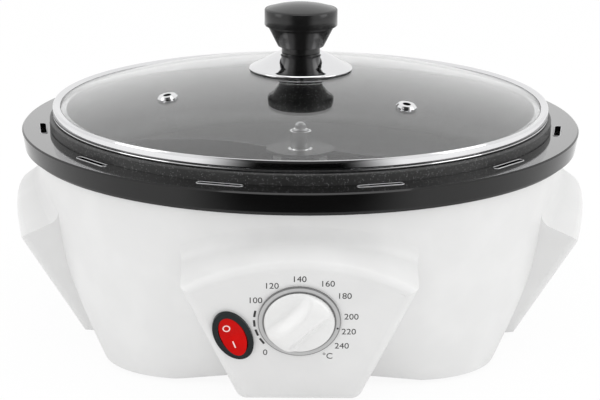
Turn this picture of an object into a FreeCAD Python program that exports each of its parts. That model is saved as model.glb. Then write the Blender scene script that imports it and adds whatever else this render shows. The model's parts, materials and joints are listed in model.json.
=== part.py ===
import FreeCAD, Part
import Sketcher
import math
import os

# Home coffee bean roaster: a white moulded bowl on four wings, a black ring, a coated pan with a
# turning stirrer, and a lift-off glass lid. Millimetres, +Z up, front at -Y, shaft on the Z axis.

from FreeCAD import Placement, Rotation, Vector

doc = FreeCAD.newDocument("coffee_roaster")
sheet = doc.addObject("Spreadsheet::Sheet", "Sizes")

# Driving dimensions
DRIVING = {
    # heights of the whole
    "ring_top": 118.5,
    "foot_lift": 2.2,
    "origin_shift": 5.0,
    # black top ring
    "ring_radius": 158.0,
    "ring_bore": 142.9,
    "ring_plate": 3.0,
    "ring_skirt": 12.8,
    "ring_skirt_radius": 153.4,
    "ring_skirt_wall": 1.4,
    "ring_ledge_width": 3.0,
    "ring_ledge_drop": 0.5,
    "ring_band": 10.4,
    "slot_count": 11,
    "slot_length": 25.0,
    "slot_width": 3.8,
    "slot_web": 1.6,
    # bowl housing
    "bowl_wall": 2.8,
    "bowl_rim_half": 151.4,
    "bowl_waist_half": 133.5,
    "bowl_waist_corner": 113.0,
    "bowl_waist_height": 47.5,
    "bowl_base_half_x": 108.0,
    "bowl_base_half_y": 110.6,
    "bowl_base_corner": 47.5,
    "skirt_rise": 3.2,
    "skirt_start": 66.0,
    "skirt_end": 36.5,
    # wings
    "wing_reach": 162.7,
    "wing_top": 81.5,
    "wing_shoulder": 66.0,
    "wing_half_width": 61.0,
    "wing_foot_half_width": 31.5,
    "wing_root": 99.0,
    "wing_root_tilt": 16.0,
    "wing_crown_rise": 25.0,
    "wing_shoulder_rise": 15.0,
    "wing_foot_spread": 5.0,
    "panel_foot_reach": 138.6,
    "handle_foot_reach": 122.8,
    "wing_edge_round": 5.5,
    "wing_blend": 9.0,
    # pan
    "pan_wall": 1.8,
    "pan_mouth_radius": 136.0,
    "pan_floor_radius": 128.5,
    "pan_depth": 29.0,
    "pan_corner_round": 12.0,
    "pan_flange_radius": 142.3,
    "pan_flange_rise": 5.9,
    "pan_boss_radius": 13.5,
    "pan_boss_top_radius": 9.0,
    "pan_boss_height": 9.0,
    # drive
    "shaft_radius": 3.0,
    "shaft_tip_drop": 1.6,
    "bush_wall": 1.5,
    "run_clearance": 0.06,
    "stirrer_reach": 113.0,
    "stirrer_blade": 1.8,
    "stirrer_height": 10.0,
    "floor_gap": 0.8,
    "sleeve_radius": 6.1,
    "sleeve_wall": 1.1,
    "sleeve_height": 10.4,
    "nut_height": 10.6,
    "washer_sheet": 0.8,
    "nose_height": 6.0,
    "motor_radius": 30.0,
    "motor_height": 20.0,
    "gearbox_height": 16.0,
    # heater
    "heater_ring_radius": 84.0,
    "heater_tube_radius": 3.6,
    "shield_drop": 14.0,
    "shield_radius": 114.0,
    "shield_sheet": 0.8,
    "stud_circle": 101.0,
    "stud_radius": 2.0,
    # base
    "base_sheet": 2.4,
    "base_lift": 4.4,
    "base_gap": 0.6,
    "post_reach": 84.0,
    "post_radius": 5.0,
    "foot_radius": 8.0,
    # control panel
    "grommet_height": 30.0,
    "grommet_radius": 5.5,
    "dial_height": 49.7,
    "dial_radius": 18.3,
    "dial_ring_radius": 21.3,
    "dial_ring_depth": 1.4,
    "dial_base_depth": 7.0,
    "dial_grip_depth": 15.0,
    "dial_grip_width": 11.0,
    "thermostat_radius": 16.0,
    "thermostat_depth": 17.0,
    "switch_x": -34.1,
    "switch_height": 41.2,
    "switch_lean": 23.0,
    "bezel_long": 15.2,
    "bezel_short": 9.6,
    "bezel_depth": 2.0,
    "rocker_long": 11.4,
    "rocker_short": 6.3,
    "rocker_gap": 0.45,
    "rocker_rest": 7.0,
    # lid
    "rim_bottom_radius": 138.7,
    "rim_top_radius": 140.5,
    "rim_height": 6.2,
    "rim_width": 6.5,
    "dome_rise": 31.4,
    "dome_edge_rise": 11.2,
    "glass_sheet": 3.2,
    "disc_radius": 29.0,
    "disc_rise": 11.0,
    "eyelet_circle": 85.6,
    "eyelet_radius": 3.4,
    "knob_radius": 20.4,
    "knob_neck_radius": 9.5,
    "knob_rise": 70.3,
    "seat_gap": 0.3,
}


class Size:
    """A length that carries its number and the expression that gives it."""

    def __init__(self, value, text):
        self.value = float(value)
        self.text = text

    def __add__(self, other):
        other = as_size(other)
        return Size(self.value + other.value, "(%s + %s)" % (self.text, other.text))

    def __radd__(self, other):
        return as_size(other) + self

    def __sub__(self, other):
        other = as_size(other)
        return Size(self.value - other.value, "(%s - %s)" % (self.text, other.text))

    def __rsub__(self, other):
        return as_size(other) - self

    def __mul__(self, other):
        other = as_size(other)
        return Size(self.value * other.value, "(%s * %s)" % (self.text, other.text))

    def __rmul__(self, other):
        return as_size(other) * self

    def __truediv__(self, other):
        other = as_size(other)
        return Size(self.value / other.value, "(%s / %s)" % (self.text, other.text))

    def __neg__(self):
        return Size(-self.value, "(0 - %s)" % self.text)


def as_size(number):
    if isinstance(number, Size):
        return number
    return Size(number, repr(float(number)))


class Named:
    """The driving dimensions by name."""


S = Named()
for row, (alias, number) in enumerate(DRIVING.items(), start=1):
    sheet.set("A%d" % row, alias)
    sheet.set("B%d" % row, str(number))
    sheet.setAlias("B%d" % row, alias)
    setattr(S, alias, Size(number, "Sizes." + alias))
doc.recompute()


def bind(thing, prop, length):
    """Set a property to a size and tie it to the sheet."""
    length = as_size(length)
    setattr(thing, prop, length.value)
    if "Sizes." in length.text:
        thing.setExpression(prop, length.text)


def move(thing, x=0.0, y=0.0, z=0.0, turn=None):
    """Place a primitive by sizes, with an optional fixed turn."""
    x, y, z = as_size(x), as_size(y), as_size(z)
    rotation = turn if turn else Rotation()
    thing.Placement = Placement(Vector(x.value, y.value, z.value), rotation)
    for axis, length in (("x", x), ("y", y), ("z", z)):
        if "Sizes." in length.text:
            thing.setExpression("Placement.Base." + axis, length.text)
    return thing


def origin_plane(body, role):
    return [plane for plane in body.Origin.OriginFeatures if plane.Role == role][0]


def outline(sketch, corners):
    """A closed outline of straight lines whose corners are tied to the sheet."""
    points = [Vector(as_size(u).value, as_size(v).value, 0) for u, v in corners]
    count = len(points)
    for index in range(count):
        sketch.addGeometry(Part.LineSegment(points[index], points[(index + 1) % count]), False)
    for index in range(count):
        sketch.addConstraint(Sketcher.Constraint("Coincident", index, 2, (index + 1) % count, 1))
    for index, (u, v) in enumerate(corners):
        for kind, length in (("DistanceX", as_size(u)), ("DistanceY", as_size(v))):
            if length.value == 0.0 and "Sizes." not in length.text:
                target = -2 if kind == "DistanceX" else -1
                sketch.addConstraint(Sketcher.Constraint("PointOnObject", index, 1, target))
                continue
            number = sketch.addConstraint(Sketcher.Constraint(kind, -1, 1, index, 1, length.value))
            if "Sizes." in length.text:
                sketch.setExpression("Constraints[%d]" % number, length.text)


def turned(label, corners):
    """A body turned about the Z axis from an outline of radius and height."""
    body = doc.addObject("PartDesign::Body", label)
    body.Label = label
    sketch = body.newObject("Sketcher::SketchObject", label + "_outline")
    sketch.AttachmentSupport = [(origin_plane(body, "XZ_Plane"), "")]
    sketch.MapMode = "FlatFace"
    outline(sketch, corners)
    doc.recompute()
    spin = body.newObject("PartDesign::Revolution", label + "_turn")
    spin.Profile = sketch
    spin.ReferenceAxis = (sketch, ["V_Axis"])
    spin.Angle = 360.0
    body.Tip = spin
    doc.recompute()
    return body


def edges_where(shape, test):
    return ["Edge%d" % (i + 1) for i, edge in enumerate(shape.Edges) if test(edge)]


def round_edges(body, radius, test, name):
    """Round the edges of a body's last feature that pass a test."""
    tip = body.Tip
    names = edges_where(tip.Shape, test)
    fillet = body.newObject("PartDesign::Fillet", name)
    fillet.Base = (tip, names)
    bind(fillet, "Radius", radius)
    body.Tip = fillet
    doc.recompute()
    return fillet


def circle_at(edge, radius, height, tolerance=0.05):
    """True for a full circle about Z of this radius at this height."""
    curve = edge.Curve
    if not hasattr(curve, "Radius"):
        return False
    return abs(curve.Radius - radius) < tolerance and abs(curve.Center.z - height) < tolerance


def cylinder(label, radius, height, x=0.0, y=0.0, z=0.0, turn=None):
    made = doc.addObject("Part::Cylinder", label)
    bind(made, "Radius", radius)
    bind(made, "Height", height)
    return move(made, x, y, z, turn)


def cone(label, low, high, height, x=0.0, y=0.0, z=0.0, turn=None):
    made = doc.addObject("Part::Cone", label)
    bind(made, "Radius1", low)
    bind(made, "Radius2", high)
    bind(made, "Height", height)
    return move(made, x, y, z, turn)


def box(label, length, width, height, x=0.0, y=0.0, z=0.0, turn=None):
    made = doc.addObject("Part::Box", label)
    bind(made, "Length", length)
    bind(made, "Width", width)
    bind(made, "Height", height)
    return move(made, x, y, z, turn)


def cut(label, base, tool):
    made = doc.addObject("Part::Cut", label)
    made.Base = base
    made.Tool = tool
    made.Label = label
    return made


def fuse(label, shapes):
    made = doc.addObject("Part::MultiFuse", label)
    made.Shapes = shapes
    made.Label = label
    return made


def common(label, shapes):
    made = doc.addObject("Part::MultiCommon", label)
    made.Shapes = shapes
    made.Label = label
    return made


def group(label, shapes):
    """Separate solids kept in one node."""
    made = doc.addObject("Part::Compound", label)
    made.Links = shapes
    made.Label = label
    return made


NODES = []


def keep(thing, label):
    """Give a finished sub-part its node name."""
    thing.Label = label
    NODES.append((label, thing))
    return thing


# Lines that several pieces share
deck = S.ring_top
pan_floor = deck - S.pan_depth
pan_under = pan_floor - S.pan_wall
rim_seat = deck - S.ring_plate
lid_seat = deck + S.pan_flange_rise
base_top = S.base_lift + S.base_sheet


# The black ring: a turned cap over the rim of the bowl, with vent slots in its flat land
def make_ring():
    ledge = deck - S.ring_ledge_drop
    inner = S.ring_bore - S.ring_ledge_width
    skirt_in = S.ring_skirt_radius - S.ring_skirt_wall
    band_low = deck - S.ring_band
    low = deck - S.ring_skirt
    body = turned("ring_blank", [
        (inner, rim_seat), (inner, ledge), (S.ring_bore, ledge), (S.ring_bore, deck),
        (S.ring_radius - 0.8, deck), (S.ring_radius, deck - 0.8),
        (S.ring_radius - 1.6, band_low), (S.ring_skirt_radius + 0.9, band_low),
        (S.ring_skirt_radius, low), (skirt_in, low), (skirt_in + 0.2, rim_seat),
    ])
    slots = []
    middle = S.ring_bore + S.slot_web + S.slot_width / 2
    turn_step = 360.0 / S.slot_count.value
    for index in range(int(S.slot_count.value)):
        slots.append(slot_cutter(index, middle, turn_step * (index + 0.5)))
    return keep(cut("top_ring", body, fuse("slot_cutters", slots)), "top_ring")


def slot_cutter(index, middle, degrees):
    """A round-ended vent slot that follows the ring, counted from the front."""
    name = "slot_%d" % index
    depth = S.ring_plate + 2
    low = rim_seat - 1
    outer = cylinder(name + "_outer", middle + S.slot_width / 2, depth, z=low)
    inner = cylinder(name + "_inner", middle - S.slot_width / 2, depth, z=low)
    sweep = math.degrees((S.slot_length.value - S.slot_width.value) / middle.value)
    band = cut(name + "_band", outer, inner)
    outer.Angle = sweep
    inner.Angle = sweep
    outer.Placement.Rotation = Rotation(Vector(0, 0, 1), -90 + degrees - sweep / 2)
    inner.Placement.Rotation = Rotation(Vector(0, 0, 1), -90 + degrees - sweep / 2)
    ends = []
    for side in (-1, 1):
        angle = math.radians(-90 + degrees + side * sweep / 2)
        end = cylinder("%s_end_%d" % (name, side + 1), S.slot_width / 2, depth,
                       middle * math.cos(angle), middle * math.sin(angle), low)
        ends.append(end)
    return fuse(name, [band] + ends)


# The bowl: three rounded squares lofted from the round rim to the squared base
def rounded_square(label, half_x, half_y, corner, height):
    sketch = doc.addObject("Sketcher::SketchObject", label)
    half_x, half_y, corner = as_size(half_x), as_size(half_y), as_size(corner)
    move(sketch, z=height)
    a, b, c = half_x.value, half_y.value, corner.value
    middle = [(a - c, b - c), (c - a, b - c), (c - a, c - b), (a - c, c - b)]
    for index, (x, y) in enumerate(middle):
        circle = Part.Circle(Vector(x, y, 0), Vector(0, 0, 1), c)
        start = index * math.pi / 2
        sketch.addGeometry(Part.ArcOfCircle(circle, start, start + math.pi / 2), False)
    for index in range(4):
        end_x = middle[index][0] + c * math.cos((index + 1) * math.pi / 2)
        end_y = middle[index][1] + c * math.sin((index + 1) * math.pi / 2)
        following = (index + 1) % 4
        start_x = middle[following][0] + c * math.cos(following * math.pi / 2)
        start_y = middle[following][1] + c * math.sin(following * math.pi / 2)
        line = Part.LineSegment(Vector(end_x, end_y, 0), Vector(start_x, start_y, 0))
        sketch.addGeometry(line, False)
    for index in range(4):
        sketch.addConstraint(Sketcher.Constraint("Tangent", index, 2, 4 + index, 1))
        sketch.addConstraint(Sketcher.Constraint("Tangent", 4 + index, 2, (index + 1) % 4, 1))
    for index in range(1, 4):
        sketch.addConstraint(Sketcher.Constraint("Equal", 0, index))
    sketch.addConstraint(Sketcher.Constraint("Horizontal", 4))
    sketch.addConstraint(Sketcher.Constraint("Vertical", 5))
    for kind, arc, length in (("DistanceX", 0, half_x), ("DistanceY", 0, half_y)):
        point = 1 if kind == "DistanceX" else 2
        number = sketch.addConstraint(Sketcher.Constraint(kind, -1, 1, arc, point, length.value))
        sketch.setExpression("Constraints[%d]" % number, length.text)
        opposite = 2
        number = sketch.addConstraint(
            Sketcher.Constraint(kind, opposite, point, -1, 1, length.value))
        sketch.setExpression("Constraints[%d]" % number, length.text)
    number = sketch.addConstraint(Sketcher.Constraint("Radius", 0, c))
    sketch.setExpression("Constraints[%d]" % number, corner.text)
    doc.recompute()
    return sketch


def bowl_solid(label, inset, low, high):
    rim = S.bowl_rim_half - inset
    sections = [
        rounded_square(label + "_rim", rim, rim, rim - 1.5, high),
        rounded_square(label + "_waist", S.bowl_waist_half - inset, S.bowl_waist_half - inset,
                       S.bowl_waist_corner - inset, S.bowl_waist_height),
        rounded_square(label + "_base", S.bowl_base_half_x - inset, S.bowl_base_half_y - inset,
                       S.bowl_base_corner - inset, low),
    ]
    loft = doc.addObject("Part::Loft", label)
    loft.Sections = sections
    loft.Solid = True
    loft.Ruled = False
    doc.recompute()
    return loft


# A wing: lofted from a tall arched outline inside the bowl to the arched face outside
def wing_outline(label, half_top, shoulder, crown, half_foot, foot, tilt, reach):
    """An outline in the plane of a wing's face: arch on top, sides drawn in to a narrow foot."""
    sketch = doc.addObject("Sketcher::SketchObject", label)
    stretch = 1.0 / math.cos(math.radians(tilt))
    top, bottom = crown * stretch, foot * stretch
    side = shoulder * stretch
    lean = Rotation(Vector(1, 0, 0), 90 + tilt)
    sketch.Placement = Placement(Vector(0, -reach.value, 0), lean)
    sketch.setExpression("Placement.Base.y", (-reach).text)
    points = [
        (-half_foot, bottom), (half_foot, bottom), (half_top, side), (-half_top, side),
    ]
    values = [Vector(u.value, v.value, 0) for u, v in points]
    crown_point = Vector(0, top.value, 0)
    sketch.addGeometry(Part.LineSegment(values[0], values[1]), False)
    sketch.addGeometry(Part.LineSegment(values[1], values[2]), False)
    sketch.addGeometry(Part.Arc(values[2], crown_point, values[3]), False)
    sketch.addGeometry(Part.LineSegment(values[3], values[0]), False)
    for first, second in ((0, 1), (3, 0)):
        sketch.addConstraint(Sketcher.Constraint("Coincident", first, 2, second, 1))
    arc_start = sketch.Geometry[2].StartPoint
    right_first = arc_start.x > 0
    sketch.addConstraint(Sketcher.Constraint("Coincident", 1, 2, 2, 1 if right_first else 2))
    sketch.addConstraint(Sketcher.Constraint("Coincident", 3, 1, 2, 2 if right_first else 1))
    for index, (u, v) in enumerate(points):
        line, point = ((0, 1), (1, 1), (1, 2), (3, 1))[index]
        for kind, length in (("DistanceX", as_size(u)), ("DistanceY", as_size(v))):
            number = sketch.addConstraint(
                Sketcher.Constraint(kind, -1, 1, line, point, length.value))
            if "Sizes." in length.text:
                sketch.setExpression("Constraints[%d]" % number, length.text)
    half = half_top.value
    rise = top.value - side.value
    radius = (half * half + rise * rise) / (2 * rise)
    number = sketch.addConstraint(Sketcher.Constraint("Radius", 2, radius))
    text = "((%s) * (%s) + (%s) * (%s)) / (2 * (%s))" % (
        half_top.text, half_top.text, (top - side).text, (top - side).text, (top - side).text)
    sketch.setExpression("Constraints[%d]" % number, text)
    doc.recompute()
    return sketch


def wing_slope(foot_reach):
    """How far a wing's face leans out for each millimetre of height."""
    return (S.wing_reach.value - foot_reach.value) / (S.wing_top.value - S.foot_lift.value)


def wing_solid(label, inset, foot_reach):
    """One wing, at the front, or its hollow where an inset is given."""
    slope = wing_slope(foot_reach)
    tilt = math.degrees(math.atan(slope))
    root_tilt = S.wing_root_tilt.value
    low = S.foot_lift + inset
    ground = foot_reach - S.foot_lift * slope - inset / math.cos(math.radians(tilt))
    face = wing_outline(label + "_face", S.wing_half_width - inset, S.wing_shoulder - inset,
                        S.wing_top - inset, S.wing_foot_half_width - inset, low, tilt, ground)
    root = wing_outline(label + "_root", S.wing_half_width - inset,
                        S.wing_shoulder + S.wing_shoulder_rise - inset,
                        S.wing_top + S.wing_crown_rise - inset,
                        S.wing_foot_half_width - inset + S.wing_foot_spread,
                        low, root_tilt, S.wing_root)
    loft = doc.addObject("Part::Loft", label)
    loft.Sections = [root, face]
    loft.Solid = True
    loft.Ruled = True
    doc.recompute()
    return loft


def on_face_of(edge, tilt, ground_reach):
    """True for an edge that lies in the tilted face of a wing."""
    slope = math.tan(math.radians(tilt))
    for vertex in edge.Vertexes:
        if abs(-vertex.Point.y - (ground_reach + vertex.Point.z * slope)) > 0.05:
            return False
    return True


def rounded_wing(label, foot_reach):
    """A wing with a rounded rim to its face and rounded feet."""
    loft = wing_solid(label + "_sharp", as_size(0.0), foot_reach)
    slope = wing_slope(foot_reach)
    tilt = math.degrees(math.atan(slope))
    ground = foot_reach.value - S.foot_lift.value * slope
    fillet = doc.addObject("Part::Fillet", label)
    fillet.Base = loft
    rounds = []
    radius = S.wing_edge_round.value
    for index, edge in enumerate(loft.Shape.Edges):
        heights = [vertex.Point.z for vertex in edge.Vertexes]
        depths = [vertex.Point.y for vertex in edge.Vertexes]
        along_floor = max(heights) < S.foot_lift.value + 0.05
        if on_face_of(edge, tilt, ground) and not along_floor:
            rounds.append((index + 1, radius, radius))
        if along_floor and max(depths) - min(depths) > 5:
            rounds.append((index + 1, radius, radius))
    fillet.Edges = rounds
    doc.recompute()
    return fillet


def turned_copy(label, thing, degrees):
    """A copy of a shape turned about the Z axis."""
    link = doc.addObject("Part::Feature", label)
    shape = thing.Shape.copy()
    shape.rotate(Vector(0, 0, 0), Vector(0, 0, 1), degrees)
    link.Shape = shape
    return link


def make_housing():
    """The outside of the bowl with its wings, and the room inside it."""
    outer = bowl_solid("bowl_outer", as_size(0.0), S.foot_lift, rim_seat)
    inner = bowl_solid("bowl_inner", S.bowl_wall, S.foot_lift - 1, rim_seat + 1)
    panel = rounded_wing("panel_wing", S.panel_foot_reach)
    handle = rounded_wing("handle_wing", S.handle_foot_reach)
    wings = [panel]
    hollows = [wing_solid("panel_hollow", S.bowl_wall, S.panel_foot_reach)]
    handle_hollow = wing_solid("handle_hollow", S.bowl_wall, S.handle_foot_reach)
    for name, degrees in (("right", 90), ("back", 180), ("left", 270)):
        wings.append(turned_copy("handle_wing_" + name, handle, degrees))
        hollows.append(turned_copy("handle_hollow_" + name, handle_hollow, degrees))
    outside = fuse("housing_outside", [outer] + wings)
    inside = fuse("housing_room", [inner] + hollows)
    doc.recompute()
    return blended(outside), inside, outer


def blended(outside):
    """The hollow blend between the top of each wing and the bowl."""
    rounds = []
    radius = S.wing_blend.value
    for index, edge in enumerate(outside.Shape.Edges):
        middle = edge.valueAt((edge.FirstParameter + edge.LastParameter) / 2)
        across = min(abs(middle.x), abs(middle.y))
        away = math.hypot(middle.x, middle.y)
        over_wing = S.wing_shoulder.value < middle.z < S.wing_top.value + S.wing_crown_rise.value - 8
        if over_wing and 4.5 < across < S.wing_half_width.value and away < S.bowl_rim_half.value:
            rounds.append((index + 1, radius, radius))
    blend = doc.addObject("Part::Fillet", "housing_blend")
    blend.Base = outside
    blend.Edges = rounds
    doc.recompute()
    print("blended edges", len(rounds))
    return blend


def face_place(x, height, inward):
    """A placement on the control panel's face, Z pointing out of the panel."""
    tilt = panel_tilt
    slope = wing_slope(S.panel_foot_reach)
    reach = S.panel_foot_reach.value + (height.value - S.foot_lift.value) * slope
    lean = math.radians(tilt)
    out = Vector(0, -math.cos(lean), -math.sin(lean))
    spot = Vector(as_size(x).value, -reach, height.value) - out * inward
    return Placement(spot, Rotation(Vector(1, 0, 0), 90 + tilt))


def on_panel(thing, x, height, inward, spin=0.0):
    """Stand a primitive on the panel, sunk by a depth and turned in the panel's plane."""
    place = face_place(x, height, inward)
    thing.Placement = place.multiply(Placement(Vector(0, 0, 0), Rotation(Vector(0, 0, 1), spin)))
    return thing


def oval(label, long_half, short_half, depth):
    """An oval block, its long axis along X."""
    ring = doc.addObject("Part::Ellipse", label + "_edge")
    bind(ring, "MajorRadius", long_half)
    bind(ring, "MinorRadius", short_half)
    block = doc.addObject("Part::Extrusion", label)
    block.Base = ring
    block.DirMode = "Custom"
    block.Dir = Vector(0, 0, 1)
    bind(block, "LengthFwd", depth)
    block.Solid = True
    return block


panel_tilt = math.degrees(math.atan(wing_slope(S.panel_foot_reach)))
shell, room, bowl_outer = make_housing()


def corner_places(reach_x, reach_y):
    """The four corners of a rectangle about the middle."""
    return [(side_x * reach_x, side_y * reach_y) for side_x in (-1, 1) for side_y in (-1, 1)]


def screw_post(index, x, y):
    """A screw post that a rib ties to the corner of the bowl."""
    height = S.bowl_waist_height - 12
    post = cylinder("post_%d" % index, S.post_radius, height, x, y, base_top)
    rib = box("post_rib_%d" % index, 40, 2, height)
    angle = math.atan2(y.value, x.value)
    move(rib, x + math.sin(angle), y - math.cos(angle), base_top,
         Rotation(Vector(0, 0, 1), math.degrees(angle)))
    return [post, rib]


def finish_housing():
    """Hollow the shell, add the screw posts and cut the holes for the controls and the lead."""
    hollow = cut("housing_hollow", shell, room)
    posts = []
    holes = []
    for index, (x, y) in enumerate(corner_places(S.post_reach, S.post_reach)):
        posts += screw_post(index, x, y)
        holes.append(cylinder("post_hole_%d" % index, 1.3, 14, x, y, base_top - 0.5))
    inside = common("posts_inside", [fuse("posts", posts), bowl_outer])
    dial_hole = on_panel(cylinder("dial_hole", 5.0, 20), 0.0, S.dial_height, 14)
    switch_hole = oval("switch_hole", S.bezel_long - 2.0, S.bezel_short - 1.6, 20)
    on_panel(switch_hole, S.switch_x, S.switch_height, 14, 90 + S.switch_lean.value)
    slope = wing_slope(S.handle_foot_reach)
    reach = S.handle_foot_reach + (S.grommet_height - S.foot_lift) * slope
    lean = math.degrees(math.atan(slope))
    lead_hole = cylinder("lead_hole", S.grommet_radius + 0.1, 12)
    spot = Vector(0, reach.value - 6 * math.cos(math.radians(lean)),
                  S.grommet_height.value + 6 * math.sin(math.radians(lean)))
    lead_hole.Placement = Placement(spot, Rotation(Vector(1, 0, 0), -90 - lean))
    for side in (-1, 1):
        for face in (-1, 1):
            holes.append(skirt_cut("skirt_%d_%d" % (side + 1, face + 1), side, face))
    whole = fuse("housing_whole", [hollow, inside])
    tools = fuse("housing_cutters", holes + [dial_hole, switch_hole, lead_hole])
    return keep(cut("housing", whole, tools), "housing")


def skirt_cut(label, side, face):
    """The low edge of the bowl rises a little towards the front and the back wing."""
    low = S.foot_lift
    side_view = doc.addObject("Sketcher::SketchObject", label + "_side")
    outline(side_view, [
        (side * S.skirt_start, low - 1), (side * S.skirt_start, low),
        (side * S.skirt_end, low + S.skirt_rise), (side * S.skirt_end, low - 1),
    ])
    start = S.bowl_base_half_y + 8 if face > 0 else 0 - S.bowl_base_half_y + 8
    move(side_view, y=start, turn=Rotation(Vector(1, 0, 0), 90))
    prism = doc.addObject("Part::Extrusion", label)
    prism.Base = side_view
    prism.DirMode = "Normal"
    bind(prism, "LengthFwd", as_size(16.0))
    prism.Solid = True
    return prism


housing = finish_housing()
ring = make_ring()


# The pan: a pressed and coated dish with a turned-down flange and a raised boss for the shaft
def make_pan():
    out = S.pan_wall
    lip = deck - S.ring_ledge_drop
    flange_low = lid_seat - S.pan_wall
    wall_out = S.pan_mouth_radius + out
    bore = S.shaft_radius + S.bush_wall
    boss_low = pan_floor + S.pan_boss_height
    body = turned("pan_body", [
        (bore, boss_low - out), (bore, boss_low), (S.pan_boss_top_radius, boss_low),
        (S.pan_boss_radius, pan_floor), (S.pan_floor_radius, pan_floor),
        (S.pan_mouth_radius, lid_seat), (S.pan_flange_radius, lid_seat),
        (S.pan_flange_radius, lip), (S.pan_flange_radius - out, lip),
        (S.pan_flange_radius - out, flange_low), (wall_out, flange_low),
        (S.pan_floor_radius + 1, pan_under), (S.pan_boss_radius - 1.4, pan_under),
        (S.pan_boss_top_radius - 1.6, boss_low - out),
    ])
    inner_round = S.pan_corner_round
    round_edges(body, inner_round,
                lambda e: circle_at(e, S.pan_floor_radius.value, pan_floor.value), "pan_round_in")
    round_edges(body, inner_round + out,
                lambda e: circle_at(e, S.pan_floor_radius.value + 1, pan_under.value),
                "pan_round_out")
    round_edges(body, as_size(1.2),
                lambda e: circle_at(e, S.pan_flange_radius.value, lid_seat.value),
                "pan_round_flange")
    round_edges(body, as_size(1.2),
                lambda e: circle_at(e, S.pan_mouth_radius.value, lid_seat.value),
                "pan_round_mouth")
    return keep(body, "pan")


make_pan()


# The drive: shaft, bush, stirrer, washer and nut turn together in the middle of the pan
def make_drive():
    boss_top = pan_floor + S.pan_boss_height
    bush_flange = 1.2
    shaft_top = deck - S.shaft_tip_drop
    shaft_low = base_top + S.motor_height + S.gearbox_height - 4
    bush_bore = S.shaft_radius + S.run_clearance
    keep(turned("bush_body", [
        (bush_bore, boss_top - 5), (bush_bore, boss_top + bush_flange),
        (S.pan_boss_top_radius - 2, boss_top + bush_flange), (S.pan_boss_top_radius - 2, boss_top),
        (S.shaft_radius + S.bush_wall - 0.05, boss_top),
        (S.shaft_radius + S.bush_wall - 0.05, boss_top - 5),
    ]), "shaft_bush")
    shaft = turned("shaft_body", [
        (0, shaft_low), (S.shaft_radius, shaft_low), (S.shaft_radius, shaft_top - 1.2),
        (S.shaft_radius - 1.2, shaft_top), (0, shaft_top),
    ])
    keep(shaft, "drive_shaft")
    plate_low = boss_top + bush_flange + S.seat_gap
    plate_high = plate_low + S.stirrer_blade
    sleeve_top = plate_high + S.sleeve_height
    sleeve_in = S.sleeve_radius - S.sleeve_wall
    bore = S.shaft_radius + 0.05
    core = turned("stirrer_core", [
        (bore, plate_low), (bore, plate_high), (sleeve_in - 0.2, plate_high),
        (sleeve_in, sleeve_top), (S.sleeve_radius, sleeve_top),
        (S.sleeve_radius - 0.4, plate_high), (S.pan_boss_radius + 6, plate_high),
        (S.pan_boss_radius + 6, plate_low),
    ])
    blade_low = pan_floor + S.floor_gap
    blades = [stirrer_blade(index, blade_low, plate_high - blade_low) for index in range(2)]
    keep(fuse("stirrer", [core] + blades), "stirrer")
    keep(turned("washer_body", [
        (bore, plate_high), (bore, plate_high + S.washer_sheet),
        (sleeve_in - 0.3, plate_high + S.washer_sheet), (sleeve_in - 0.3, plate_high),
    ]), "stirrer_washer")
    nut = doc.addObject("Part::Prism", "nut_block")
    nut.Polygon = 6
    bind(nut, "Circumradius", sleeve_in - 0.4)
    bind(nut, "Height", S.nut_height)
    move(nut, z=plate_high + S.washer_sheet)
    nut_bore = cylinder("nut_bore", bore, S.nut_height + 2, z=plate_high)
    keep(cut("stirrer_nut", nut, nut_bore), "stirrer_nut")


def stirrer_blade(index, low, height):
    """A flat blade on edge, bent to a half-moon, sweeping from the hub to the pan's wall."""
    start = S.pan_boss_radius + 2
    mid = (S.stirrer_reach + start) / 2
    radius = (S.stirrer_reach - start) / 2 * 1.35
    side = 1 if index == 0 else -1
    drop = math.sqrt(radius.value ** 2 - ((S.stirrer_reach.value - start.value) / 2) ** 2)
    outer = cylinder("blade_%d_outer" % index, radius + S.stirrer_blade, height,
                     side * mid, side * drop, low)
    inner = cylinder("blade_%d_inner" % index, radius, height + 2, side * mid, side * drop, low - 1)
    ring_band = cut("blade_%d_band" % index, outer, inner)
    span = S.stirrer_reach - start
    keeper = box("blade_%d_keeper" % index, span, 80, height + 2,
                 start if side > 0 else -S.stirrer_reach, 0 if side < 0 else -80, low - 1)
    return common("blade_%d" % index, [ring_band, keeper])


make_drive()


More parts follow.
